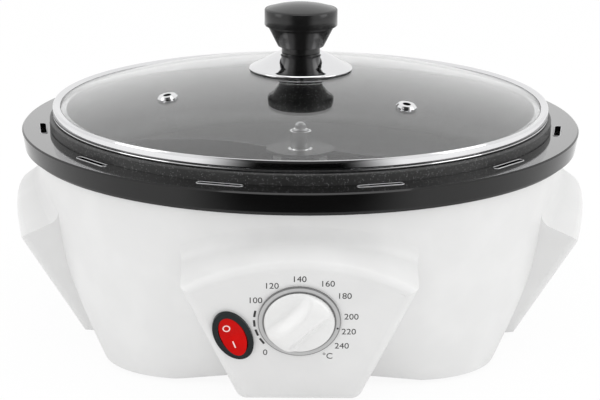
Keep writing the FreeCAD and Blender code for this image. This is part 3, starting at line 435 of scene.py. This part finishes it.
def ink(name, colour):
    """A flat ink, worn a little paler in places."""
    look = Look(name)
    worn = look.noise(WEAR_SCALE)
    paler = tuple(min(part + WEAR_PALER, 1) for part in colour)
    return look.surface(
        base_color=look.blend(worn * WEAR_SHARE, colour, paler),
        roughness=0.5,
    )


black_ink = ink("black_ink", grey(0.018))
grey_ink = ink("grey_ink", grey(0.015))
pale_ink = ink("pale_ink", (0.92, 0.72, 0.70, 1))
print("materials in all", len(bpy.data.materials))

# %% [markdown]
# ## Give every CAD piece its finish
#
# A CAD piece whose shape is right stays as it is and only changes its material. The table below
# reads as a parts list: the finish first, then the pieces that have it.

# %% Assign the finishes
finishes = (
    (white_plastic, ("housing",)),
    (ring_black, ("top_ring",)),
    (coating, ("pan",)),
    (base_plastic, ("base_plate", "thermostat")),
    (rubber, ("rubber_feet", "cord_grommet", "lid_washer")),
    (plain_steel, ("base_screws", "pan_studs", "shield_nuts", "drive_shaft", "stirrer_washer",
                   "thermostat_shaft", "lid_screw")),
    (stirrer_steel, ("stirrer",)),
    (chrome, ("stirrer_nut", "vent_eyelets", "lid_disc")),
    (polished_steel, ("lid_rim",)),
    (shield_steel, ("heat_shield",)),
    (heater_steel, ("heating_element",)),
    (motor_steel, ("motor_can", "gearbox")),
    (brass, ("shaft_bush",)),
    (grey_plastic, ("dial_ring",)),
    (charcoal_plastic, ("switch_body",)),
    (rocker_red, ("rocker",)),
    (phenolic, ("lid_knob",)),
    (lid_glass, ("lid_glass",)),
    (dial_plastic, ("dial_knob",)),
)
for material, names in finishes:
    for name in names:
        mesh = nodes[name].data
        mesh.materials.clear()
        mesh.materials.append(material)
dressed = sum(len(names) for _, names in finishes)
print("dressed", dressed, "of", len(nodes))

# %% [markdown]
# ## Adding a piece
#
# Every new piece is made round its own middle, then its mesh is moved into the row frame, so the
# object itself stays at the origin as the CAD pieces do. It then rides on a body by name.

# %% One way in for every new piece


def add_piece(name, mesh, place, material, body):
    """Put a mesh into the row frame and let it ride on a body."""
    mesh.transform(place)
    mesh.materials.clear()
    mesh.materials.append(material)
    made = bpy.data.objects.new(name, mesh)
    bpy.context.scene.collection.objects.link(made)
    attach(made, body)
    return made


def mesh_from(shape, name, smooth=True):
    """Close a bmesh into a mesh whose faces point outwards."""
    bmesh.ops.recalc_face_normals(shape, faces=shape.faces)
    mesh = bpy.data.meshes.new(name)
    shape.to_mesh(mesh)
    shape.free()
    for face in mesh.polygons:
        face.use_smooth = smooth
    return mesh


def circle_points(radius, sides):
    """Points of a circle round the origin."""
    turns = [2 * math.pi * side / sides for side in range(sides)]
    return [(radius * math.cos(turn), radius * math.sin(turn)) for turn in turns]


def join_loops(shape, first, second):
    """Faces between two closed loops. A loop of one point is a pole."""
    sides = max(len(first), len(second))
    for side in range(sides):
        after = (side + 1) % sides
        if len(first) == 1:
            shape.faces.new((first[0], second[side], second[after]))
        elif len(second) == 1:
            shape.faces.new((first[side], second[0], first[after]))
        else:
            shape.faces.new((first[side], second[side], second[after], first[after]))


def prism(outline, low, high, name):
    """A flat plate between two heights from an outline in its own plane."""
    shape = bmesh.new()
    bottom = [shape.verts.new((x, y, low)) for x, y in outline]
    top = [shape.verts.new((x, y, high)) for x, y in outline]
    shape.faces.new(bottom[::-1])
    shape.faces.new(top)
    join_loops(shape, bottom, top)
    return mesh_from(shape, name, smooth=False)


print("a circle of 4 sides:", [[round(part, 2) for part in point] for point in circle_points(1, 4)])

# %% [markdown]
# ## The dial
#
# The dial is a shallow white cap with a ridge to grip, scooped out on both sides. Its height over
# the panel follows a rule: full height along the ridge, a floor in the scoops and a soft slope
# between. So it is made as a disc of rings whose points are lifted by that rule, which a boolean
# of simple solids would only rough out.

# %% The dial's height rule
DIAL_RADIUS = 18.0 * MILLIMETRE
DIAL_FLOOR = 3.4 * MILLIMETRE
DIAL_TOP = 10.5 * MILLIMETRE
DIAL_LIFT = 1.6 * MILLIMETRE
RIDGE_TURN = math.radians(46)
RIDGE_HALF = 2.2 * MILLIMETRE
RIDGE_FLARE = 3.0 * MILLIMETRE
RIDGE_SAG = 6.4 * MILLIMETRE
SAG_POWER = 2.4
SCOOP_SLOPE = 7.0 * MILLIMETRE
SCOOP_DISH = 0.7 * MILLIMETRE
EDGE_DROP = 0.9 * MILLIMETRE
EDGE_START = 0.93


def smooth_step(value):
    """0 below 0, 1 above 1, and smooth between."""
    value = min(max(value, 0.0), 1.0)
    return value * value * (3 - 2 * value)


def dial_height(u, v):
    """Height of the dial's face over the panel at a point of its plane."""
    along = u * math.cos(RIDGE_TURN) + v * math.sin(RIDGE_TURN)
    across = -u * math.sin(RIDGE_TURN) + v * math.cos(RIDGE_TURN)
    flare = RIDGE_FLARE * (along / DIAL_RADIUS) ** 2
    inside = (abs(across) - RIDGE_HALF - flare) / SCOOP_SLOPE
    ridge = 1 - smooth_step(inside)
    sag = RIDGE_SAG * abs(along / DIAL_RADIUS) ** SAG_POWER
    away = math.hypot(u, v) / DIAL_RADIUS
    edge = EDGE_DROP * smooth_step((away - EDGE_START) / (1 - EDGE_START)) ** 2
    dish = SCOOP_DISH * (1 - away)
    return DIAL_FLOOR - dish + ridge * (DIAL_TOP - sag - DIAL_FLOOR) - edge


print("ridge", round(dial_height(0, 0) * 1000, 1), "mm over the panel")

# %% Build the dial
DIAL_SPOKES = 144
DIAL_RINGS = 44
SKIRT_HEIGHT = 0.4 * MILLIMETRE
SKIRT_FLARE = 0.25 * MILLIMETRE


def make_dial():
    """Rings of points lifted by the height rule, then a short skirt and a flat underside."""
    shape = bmesh.new()
    loops = [[shape.verts.new((0, 0, dial_height(0, 0)))]]
    for ring in range(1, DIAL_RINGS + 1):
        points = circle_points(DIAL_RADIUS * ring / DIAL_RINGS, DIAL_SPOKES)
        loops.append([shape.verts.new((u, v, dial_height(u, v))) for u, v in points])
    skirt = ((DIAL_RADIUS + SKIRT_FLARE, DIAL_LIFT + SKIRT_HEIGHT), (DIAL_RADIUS, DIAL_LIFT))
    for radius, height in skirt:
        points = circle_points(radius, DIAL_SPOKES)
        loops.append([shape.verts.new((u, v, height)) for u, v in points])
    loops.append([shape.verts.new((0, 0, DIAL_LIFT))])
    for first, second in zip(loops, loops[1:]):
        join_loops(shape, first, second)
    return mesh_from(shape, "dial_cap")


dial_cap = add_piece("dial_cap", make_dial(), panel, dial_plastic, "dial")
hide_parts("dial_knob")
print("dial faces", len(dial_cap.data.polygons))

# %% [markdown]
# ## The lid's knob, disc and rim
#
# These three are turned parts, so each is one outline spun round the shaft's line. The CAD
# outlines are plain; here the knob gets its sharp cap and fine groove, the disc its rolled edge,
# and the rim the upright face that mirrors the room.

# %% Spin an outline
LATHE_SIDES = 160
SHARP_EDGE = math.radians(38)


def lathe(outline, name):
    """Spin (radius, height) points in millimetres round the shaft. Radius 0 is a pole."""
    shape = bmesh.new()
    loops = []
    for radius, height in outline:
        points = circle_points(radius * MILLIMETRE, LATHE_SIDES if radius else 1)
        loops.append([shape.verts.new((x, shaft_y + y, height * MILLIMETRE)) for x, y in points])
    for first, second in zip(loops, loops[1:]):
        join_loops(shape, first, second)
    if outline[0][0] and outline[-1][0]:
        join_loops(shape, loops[-1], loops[0])
    mesh = mesh_from(shape, name)
    mesh.set_sharp_from_angle(angle=SHARP_EDGE)
    return mesh


print("lathe with", LATHE_SIDES, "sides")

# %% Knob, disc and rim: (radius, height over the floor) in millimetres
STILL = Matrix.Identity(4)
knob_outline = (
    (0, 169.4), (2.1, 169.4), (2.1, 158.95), (10.6, 158.95), (10.9, 159.2), (10.9, 162.0),
    (11.3, 162.3), (12.9, 162.6), (13.2, 163.0), (18.2, 172.8), (18.5, 173.3), (18.6, 173.9),
    (19.6, 174.2), (20.3, 174.4), (20.6, 174.8), (20.6, 183.2), (20.4, 183.6), (20.1, 183.75),
    (19.85, 183.5), (19.6, 183.8), (18.5, 184.2), (15.0, 185.2), (10.0, 186.2), (5.0, 186.8),
    (0, 187.0),
)
disc_outline = (
    (3.2, 157.9), (3.2, 158.9), (11.5, 158.9), (12.8, 158.8), (14.3, 158.2), (17.4, 156.6),
    (20.5, 154.9), (23.3, 153.2), (26.0, 151.8), (27.4, 151.2), (28.3, 150.9), (29.0, 150.5),
    (29.25, 149.95), (29.1, 149.45), (28.6, 149.2), (28.1, 149.3), (27.2, 150.0), (20.5, 153.9),
    (14.0, 157.3), (11.0, 157.9),
)
rim_outline = (
    (132.2, 124.7), (139.7, 124.7), (140.3, 124.95), (140.45, 125.4), (140.3, 125.7),
    (140.5, 126.0), (140.6, 127.3), (140.6, 129.4), (140.5, 130.2), (140.2, 130.75),
    (139.7, 130.95), (139.2, 130.85), (137.6, 130.3), (136.4, 129.9), (136.4, 126.1),
    (132.2, 126.1),
)
turned_pieces = (
    ("knob_turned", knob_outline, phenolic, "lid_knob", "knob_black"),
    ("disc_turned", disc_outline, chrome, "lid_disc", "chrome_bright"),
    ("rim_turned", rim_outline, polished_steel, "lid_rim", "rim_steel"),
)
for name, outline, material, old, slot in turned_pieces:
    made = add_piece(name, lathe(outline, name), STILL, material, "lid")
    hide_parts(old)
    print(name, "outline points", len(outline))

# %% [markdown]
# ## The lips of the vent slots
#
# Each slot in the black ring has a small rounded lip of bare metal, as a slot punched after
# lacquering would have. In the photograph these lips draw thin light lines in front. One lip is a
# bead along a rounded slot. The ring has eleven, set evenly round it.

# %% Beads round the slots
SLOT_COUNT = 11
SLOT_INNER = 144.5
SLOT_OUTER = 148.3
SLOT_CIRCLE = (SLOT_INNER + SLOT_OUTER) / 2
SLOT_WIDTH = SLOT_OUTER - SLOT_INNER
SLOT_LENGTH = 25.0
SLOT_BENDS = 10
LIP_RADIUS = 0.3
LIP_SIDES = 8


def slot_path():
    """Points round a slot: along the ring, and across it, with the outward direction."""
    half = (SLOT_LENGTH - SLOT_WIDTH) / 2
    points = []
    for end, start in ((half, -90), (-half, 90)):
        for bend in range(SLOT_BENDS + 1):
            angle = math.radians(start + 180 * bend / SLOT_BENDS)
            out = (math.cos(angle), math.sin(angle))
            points.append((end + out[0] * SLOT_WIDTH / 2, out[1] * SLOT_WIDTH / 2, out))
    return points


def add_lip(shape, middle):
    """One bead round the slot whose middle stands at an angle from the front."""
    loops = []
    for along, across, out in slot_path():
        loop = []
        for grow, lift in circle_points(LIP_RADIUS, LIP_SIDES):
            radius = SLOT_CIRCLE + across + out[1] * grow
            angle = middle + (along + out[0] * grow) / SLOT_CIRCLE
            x = radius * math.sin(angle) * MILLIMETRE
            y = shaft_y - radius * math.cos(angle) * MILLIMETRE
            loop.append(shape.verts.new((x, y, deck + lift * MILLIMETRE)))
        loops.append(loop)
    for first, second in zip(loops, loops[1:] + loops[:1]):
        join_loops(shape, first, second)


lips = bmesh.new()
for index in range(SLOT_COUNT):
    add_lip(lips, 2 * math.pi / SLOT_COUNT * (index + 0.5))
slot_lips = add_piece("slot_lips", mesh_from(lips, "slot_lips"), STILL, plain_steel, "base")
print("lips", SLOT_COUNT, "faces", len(slot_lips.data.polygons))

# %% [markdown]
# ## The printing on the panel
#
# Plain numbers from 0 to 240 run round the dial with a degree sign at their end, all standing
# upright. Each is a text made into a mesh and laid on the panel, a hair proud of it, as a thick
# ink is.

# %% Numbers, placed in millimetres right of and above the dial's middle
PRINT_SIZE = 5.05 * MILLIMETRE
INK_DEPTH = 0.06 * MILLIMETRE
numbers = {
    "0": (-17.6, -20.4), "100": (-22.6, 12.3), "120": (-14.2, 21.3), "140": (-0.1, 25.5),
    "160": (14.3, 22.8), "180": (23.0, 15.3), "200": (26.7, 2.4), "220": (25.5, -7.0),
    "240": (22.0, -16.0), "°C": (14.7, -22.5),
}


def text_mesh(words, size, depth):
    """A text as a flat mesh centred on its own middle."""
    curve = bpy.data.curves.new("words", "FONT")
    curve.body = words
    curve.size = size
    curve.align_x = "CENTER"
    curve.align_y = "CENTER"
    curve.extrude = depth
    carrier = bpy.data.objects.new("words", curve)
    bpy.context.scene.collection.objects.link(carrier)
    bpy.context.view_layer.update()
    depsgraph = bpy.context.evaluated_depsgraph_get()
    mesh = bpy.data.meshes.new_from_object(carrier.evaluated_get(depsgraph))
    bpy.data.objects.remove(carrier)
    return mesh


def on_panel(u, v, lift=0.0):
    """A place on the panel, in millimetres from the dial's middle."""
    return panel @ Matrix.Translation((u * MILLIMETRE, v * MILLIMETRE, lift))


for words, (u, v) in numbers.items():
    label = "print_degree" if words.endswith("C") else "print_" + words
    mesh = text_mesh(words, PRINT_SIZE, INK_DEPTH)
    add_piece(label, mesh, on_panel(u, v), grey_ink, "base")
print("printed", len(numbers))

# %% [markdown]
# The dashes between 0 and 100 follow the dial's circle, so they are one bar repeated along an
# arc. Geometry Nodes do that with named inputs, and the result is kept as a plain mesh.

# %% A tree that stands bars along an arc
ARC_STEPS = 64


def named_inputs(tree, kinds):
    """Make the inputs of a tree and give the identifiers that a modifier sets them by."""
    return {label: tree.interface.new_socket(label, in_out="INPUT", socket_type=kind).identifier
            for label, kind in kinds.items()}


def dash_tree():
    """Bars stood along an arc of a circle, lying along it."""
    tree = bpy.data.node_groups.new("dashes_on_an_arc", "GeometryNodeTree")
    sockets = named_inputs(tree, {
        "Radius": "NodeSocketFloat", "Start": "NodeSocketFloat", "Sweep": "NodeSocketFloat",
        "Count": "NodeSocketInt", "Bar": "NodeSocketVector", "Ink": "NodeSocketMaterial"})
    tree.interface.new_socket("Geometry", in_out="OUTPUT", socket_type="NodeSocketGeometry")
    make = tree.nodes.new
    inputs = make("NodeGroupInput")
    arc = make("GeometryNodeCurveArc")
    arc.inputs["Resolution"].default_value = ARC_STEPS
    points = make("GeometryNodeCurveToPoints")
    bar = make("GeometryNodeMeshCube")
    instances = make("GeometryNodeInstanceOnPoints")
    realize = make("GeometryNodeRealizeInstances")
    paint = make("GeometryNodeSetMaterial")
    output = make("NodeGroupOutput")
    links = (
        (inputs.outputs["Radius"], arc.inputs["Radius"]),
        (inputs.outputs["Start"], arc.inputs["Start Angle"]),
        (inputs.outputs["Sweep"], arc.inputs["Sweep Angle"]),
        (arc.outputs["Curve"], points.inputs["Curve"]),
        (inputs.outputs["Count"], points.inputs["Count"]),
        (inputs.outputs["Bar"], bar.inputs["Size"]),
        (points.outputs["Points"], instances.inputs["Points"]),
        (points.outputs["Rotation"], instances.inputs["Rotation"]),
        (bar.outputs["Mesh"], instances.inputs["Instance"]),
        (instances.outputs["Instances"], realize.inputs["Geometry"]),
        (realize.outputs["Geometry"], paint.inputs["Geometry"]),
        (inputs.outputs["Ink"], paint.inputs["Material"]),
        (paint.outputs["Geometry"], output.inputs[0]),
    )
    for source, target in links:
        tree.links.new(source, target)
    return tree, sockets


tree, sockets = dash_tree()
print("inputs of the tree", list(sockets))

# %% Dashes along an arc
DASH_COUNT = 4
DASH_RADIUS = 23.3 * MILLIMETRE
DASH_START = math.radians(170)
DASH_SWEEP = math.radians(44)
DASH_WIDTH = 1.15 * MILLIMETRE
DASH_LENGTH = 4.0 * MILLIMETRE
DASH_RIGHT, DASH_UP = 0.1, 0


def grown(tree, sockets, values):
    """Run a tree with these values and keep what it makes as a plain mesh."""
    carrier = bpy.data.objects.new("carrier", bpy.data.meshes.new("empty"))
    bpy.context.scene.collection.objects.link(carrier)
    modifier = carrier.modifiers.new("tree", "NODES")
    modifier.node_group = tree
    for label, value in values.items():
        modifier[sockets[label]] = value
    depsgraph = bpy.context.evaluated_depsgraph_get()
    mesh = bpy.data.meshes.new_from_object(carrier.evaluated_get(depsgraph))
    bpy.data.objects.remove(carrier)
    return mesh


dashes = grown(tree, sockets, {
    "Radius": DASH_RADIUS, "Start": DASH_START, "Sweep": DASH_SWEEP, "Count": DASH_COUNT,
    "Bar": (DASH_WIDTH, 2 * INK_DEPTH, DASH_LENGTH), "Ink": black_ink})
dash_piece = add_piece("print_dashes", dashes, on_panel(DASH_RIGHT, DASH_UP), black_ink, "base")
dash_size = dash_piece.dimensions / MILLIMETRE
print("dashes", DASH_COUNT, "box in mm", [round(part, 1) for part in dash_size])

# %% [markdown]
# One small dark dot sits on the grey ring, low on its right side. It could be a hole or a print,
# and the photograph doesn't tell which, so it is a flat disc of ink.

# %% A round mark on the grey ring
RING_DEPTH = 1.4 * MILLIMETRE
DOT_RADIUS = 0.55 * MILLIMETRE
DOT_SIDES = 32
DOT_RIGHT, DOT_UP = 19.7, -3.9

dot = prism(circle_points(DOT_RADIUS, DOT_SIDES), 0, INK_DEPTH, "ring_dot")
add_piece("ring_dot", dot, on_panel(DOT_RIGHT, DOT_UP, RING_DEPTH), black_ink, "base")
print("dot of", DOT_RADIUS / MILLIMETRE, "mm on the grey ring")

# %% [markdown]
# ## The marks on the rocker
#
# ON and OFF are the usual line and circle. They tilt with the rocker, so their places are worked
# out in its own frame: the long axis, the pivot across it and the way it leans at rest.

# %% The rocker's own frame
REST_LEAN = math.radians(7)
pivot = -Vector(joints["rocker_tilt"]["axis"]).normalized()
rocker_spot = Vector(joints["rocker_tilt"]["pos_m"])
lean = Matrix.Rotation(REST_LEAN, 3, pivot)
rocker_out = lean @ panel_out
rocker_long = pivot.cross(rocker_out)
rocker_frame = frame_of(rocker_spot, rocker_long, pivot, rocker_out)
print("rocker at", [round(part, 4) for part in rocker_spot])

# %% Circle and line
ROCKER_MIDDLE = 1.8 * MILLIMETRE
ROCKER_RISE = 1.4 / 12.4
OFF_SPOT = (5.4, 1.2)
OFF_OUTER = 2.0 * MILLIMETRE
OFF_INNER = 1.4 * MILLIMETRE
ON_SPOT = (-4.6, 1.2)
ON_LENGTH = 3.8 * MILLIMETRE
ON_WIDTH = 0.65 * MILLIMETRE
RING_SIDES = 40


def on_rocker(along, across):
    """A place on one half of the rocker, in millimetres; each half slopes up from the middle."""
    rise = ROCKER_MIDDLE + abs(along) * ROCKER_RISE * MILLIMETRE
    slope = -math.copysign(math.atan(ROCKER_RISE), along)
    spot = Matrix.Translation((along * MILLIMETRE, across * MILLIMETRE, rise))
    return rocker_frame @ spot @ Matrix.Rotation(slope, 4, "Y")


def flat_ring(outer, inner, depth, name):
    """A flat ring lying in its own plane."""
    shape = bmesh.new()
    loops = []
    for radius, height in ((outer, -depth), (outer, depth), (inner, depth), (inner, -depth)):
        points = circle_points(radius, RING_SIDES)
        loops.append([shape.verts.new((x, y, height)) for x, y in points])
    for first, second in zip(loops, loops[1:] + loops[:1]):
        join_loops(shape, first, second)
    return mesh_from(shape, name, smooth=False)


def bar_outline(length, width):
    half, side = length / 2, width / 2
    return [(-half, -side), (half, -side), (half, side), (-half, side)]


off_mark = flat_ring(OFF_OUTER, OFF_INNER, INK_DEPTH, "off_mark")
add_piece("off_mark", off_mark, on_rocker(*OFF_SPOT), pale_ink, "rocker")
on_mark = prism(bar_outline(ON_LENGTH, ON_WIDTH), -INK_DEPTH, INK_DEPTH, "on_mark")
add_piece("on_mark", on_mark, on_rocker(*ON_SPOT), pale_ink, "rocker")
print("circle", OFF_SPOT, "and line", ON_SPOT, "on the rocker")

# %% [markdown]
# ## Floor, light and camera
#
# The machine stands on a plain white floor in soft light from above and from both sides. The
# floor and the world show white to the camera by Light Path, so no lamp has to be strong, and
# the floor still keeps a little of the machine's shadow. The floor also glows softly, as a light
# table does, which lifts the bowl's lower half. In front of the machine both floor and room are
# dark to reflections, as black cards there would be, which keeps the ring's band black.

# %% Floor
FLOOR_HALF = 6.0
FLOOR_TONE = 0.9
FLOOR_WHITE = 0.93
FLOOR_GLOW = 0.45
CARD_FAR_AND_NEAR = (-0.32, -0.19)
CARD_SPREAD = (0.30, 0.95)
LEAST_AHEAD = 0.01


def floor_material():
    look = Look("floor_white")
    path = look.node("ShaderNodeLightPath").socket.node
    through = Value(look, path.outputs["Is Transmission Ray"])
    seen = Value(look, path.outputs["Is Camera Ray"]) + through
    mirrored = Value(look, path.outputs["Is Glossy Ray"])
    split = look.node("ShaderNodeSeparateXYZ", {}, {"Vector": look.place()})
    across = Value(look, split.socket.node.outputs["X"])
    ahead = Value(look, split.socket.node.outputs["Y"])
    forward = (0 - ahead).math("MAXIMUM", LEAST_AHEAD)
    spread = across.math("ABSOLUTE") / forward
    card = (1 - ahead.between(*CARD_FAR_AND_NEAR)) * (1 - spread.between(*CARD_SPREAD))
    level = (1 - card * mirrored) * FLOOR_TONE
    shade = look.node("ShaderNodeCombineColor", {}, {"Red": level, "Green": level, "Blue": level})
    matt = look.node("ShaderNodeBsdfDiffuse", {}, {"Color": shade})
    white = look.node("ShaderNodeEmission", {}, {"Color": grey(1.0), "Strength": 1.0})
    share = seen * FLOOR_WHITE + (1 - seen) * (1 - mirrored) * FLOOR_GLOW
    mixed = look.node("ShaderNodeMixShader", {}, {0: share, 1: matt, 2: white})
    look.node("ShaderNodeOutputMaterial", {}, {"Surface": mixed})
    return look.material


floor_shape = bmesh.new()
corners = [floor_shape.verts.new((x * FLOOR_HALF, y * FLOOR_HALF, 0))
           for x, y in ((-1, -1), (1, -1), (1, 1), (-1, 1))]
floor_shape.faces.new(corners)
floor_mesh = bpy.data.meshes.new("floor")
floor_shape.to_mesh(floor_mesh)
floor_shape.free()
floor_mesh.materials.append(floor_material())
floor = bpy.data.objects.new("floor", floor_mesh)
bpy.context.scene.collection.objects.link(floor)
print("floor", FLOOR_HALF * 2, "m across")

# %% [markdown]
# The room round the machine is an even white, a touch brighter on the right. A picture of a
# studio would do as well, but a few nodes keep the file free of pictures and place the dark card
# in front by its angle.

# %% World
ROOM_LEVEL = 0.97
ROOM_TILT = 0.03
FRONT_START = (-0.60, -0.15)
FRONT_SPREAD = (0.36, 0.72)
FRONT_DARK = 0.97

world = bpy.data.worlds.new("studio")
bpy.context.scene.world = world
sky = Look("studio", world)
sky_path = sky.node("ShaderNodeLightPath").socket.node
seen_by_camera = Value(sky, sky_path.outputs["Is Camera Ray"])
mirrored_sky = Value(sky, sky_path.outputs["Is Glossy Ray"])
direction = sky.node("ShaderNodeSeparateXYZ", {}, {
    "Vector": sky.node("ShaderNodeTexCoord", output="Generated")}).socket.node
to_right = Value(sky, direction.outputs["X"])
to_back = Value(sky, direction.outputs["Y"])
front = 1 - to_back.between(*FRONT_START)
card = front * (1 - to_right.math("ABSOLUTE").between(*FRONT_SPREAD))
room = (ROOM_LEVEL + to_right * ROOM_TILT) * (1 - card * mirrored_sky * FRONT_DARK)
level = seen_by_camera + (1 - seen_by_camera) * room
backdrop = sky.node("ShaderNodeBackground", {}, {"Color": grey(1.0), "Strength": level})
sky.node("ShaderNodeOutputWorld", {}, {"Surface": backdrop})
print("room level", ROOM_LEVEL)

# %% [markdown]
# Three soft lamps stand above, right and left. They are weak, since the room gives most of the
# light, and their work is to shape the bowl's sides and to draw soft edges in the black parts.

# %% Lamps


def soft_lamp(name, spot, target, size, power):
    """A square softbox that faces a point."""
    lamp = bpy.data.lights.new(name, "AREA")
    lamp.shape = "RECTANGLE"
    lamp.size, lamp.size_y = size
    lamp.energy = power
    carrier = bpy.data.objects.new(name, lamp)
    carrier.location = spot
    aim = Vector(target) - Vector(spot)
    carrier.rotation_euler = aim.to_track_quat("-Z", "Y").to_euler()
    bpy.context.scene.collection.objects.link(carrier)


machine = (0, shaft_y, 0.08)
lamps = (
    ("lamp_above", (0.1, -0.35, 1.5), (1.3, 0.7), 4.0),
    ("lamp_right", (1.5, -0.35, 0.75), (0.7, 1.0), 3.5),
    ("lamp_left", (-1.5, -0.35, 0.75), (0.7, 1.0), 3.0),
)
for name, spot, size, power in lamps:
    soft_lamp(name, spot, machine, size, power)
print("lamps", len(lamps))

# %% [markdown]
# The camera's place was fitted to the ring's ellipse in the photograph. It stands eight ring
# radii from the ring's middle and looks down by a little more than fifteen degrees.

# %% Camera
CAMERA_BACK = 1.2300
CAMERA_OVER_DECK = 0.2912
CAMERA_PITCH = math.radians(74.64)
CAMERA_ROLL = math.radians(0.324)
SENSOR_WIDTH = 36.0
LENS_LENGTH = 132.6
lens = bpy.data.cameras.new("camera")
lens.sensor_width = SENSOR_WIDTH
lens.lens = LENS_LENGTH
camera = bpy.data.objects.new("camera", lens)
look_down = Euler((CAMERA_PITCH, 0, 0)).to_matrix() @ Matrix.Rotation(CAMERA_ROLL, 3, "Z")
camera.rotation_euler = look_down.to_euler()
camera.location = (0, shaft_y - CAMERA_BACK, deck + CAMERA_OVER_DECK)
bpy.context.scene.collection.objects.link(camera)
bpy.context.scene.camera = camera
bpy.context.scene.view_settings.view_transform = "Standard"
print("camera at", [round(part, 3) for part in camera.location])
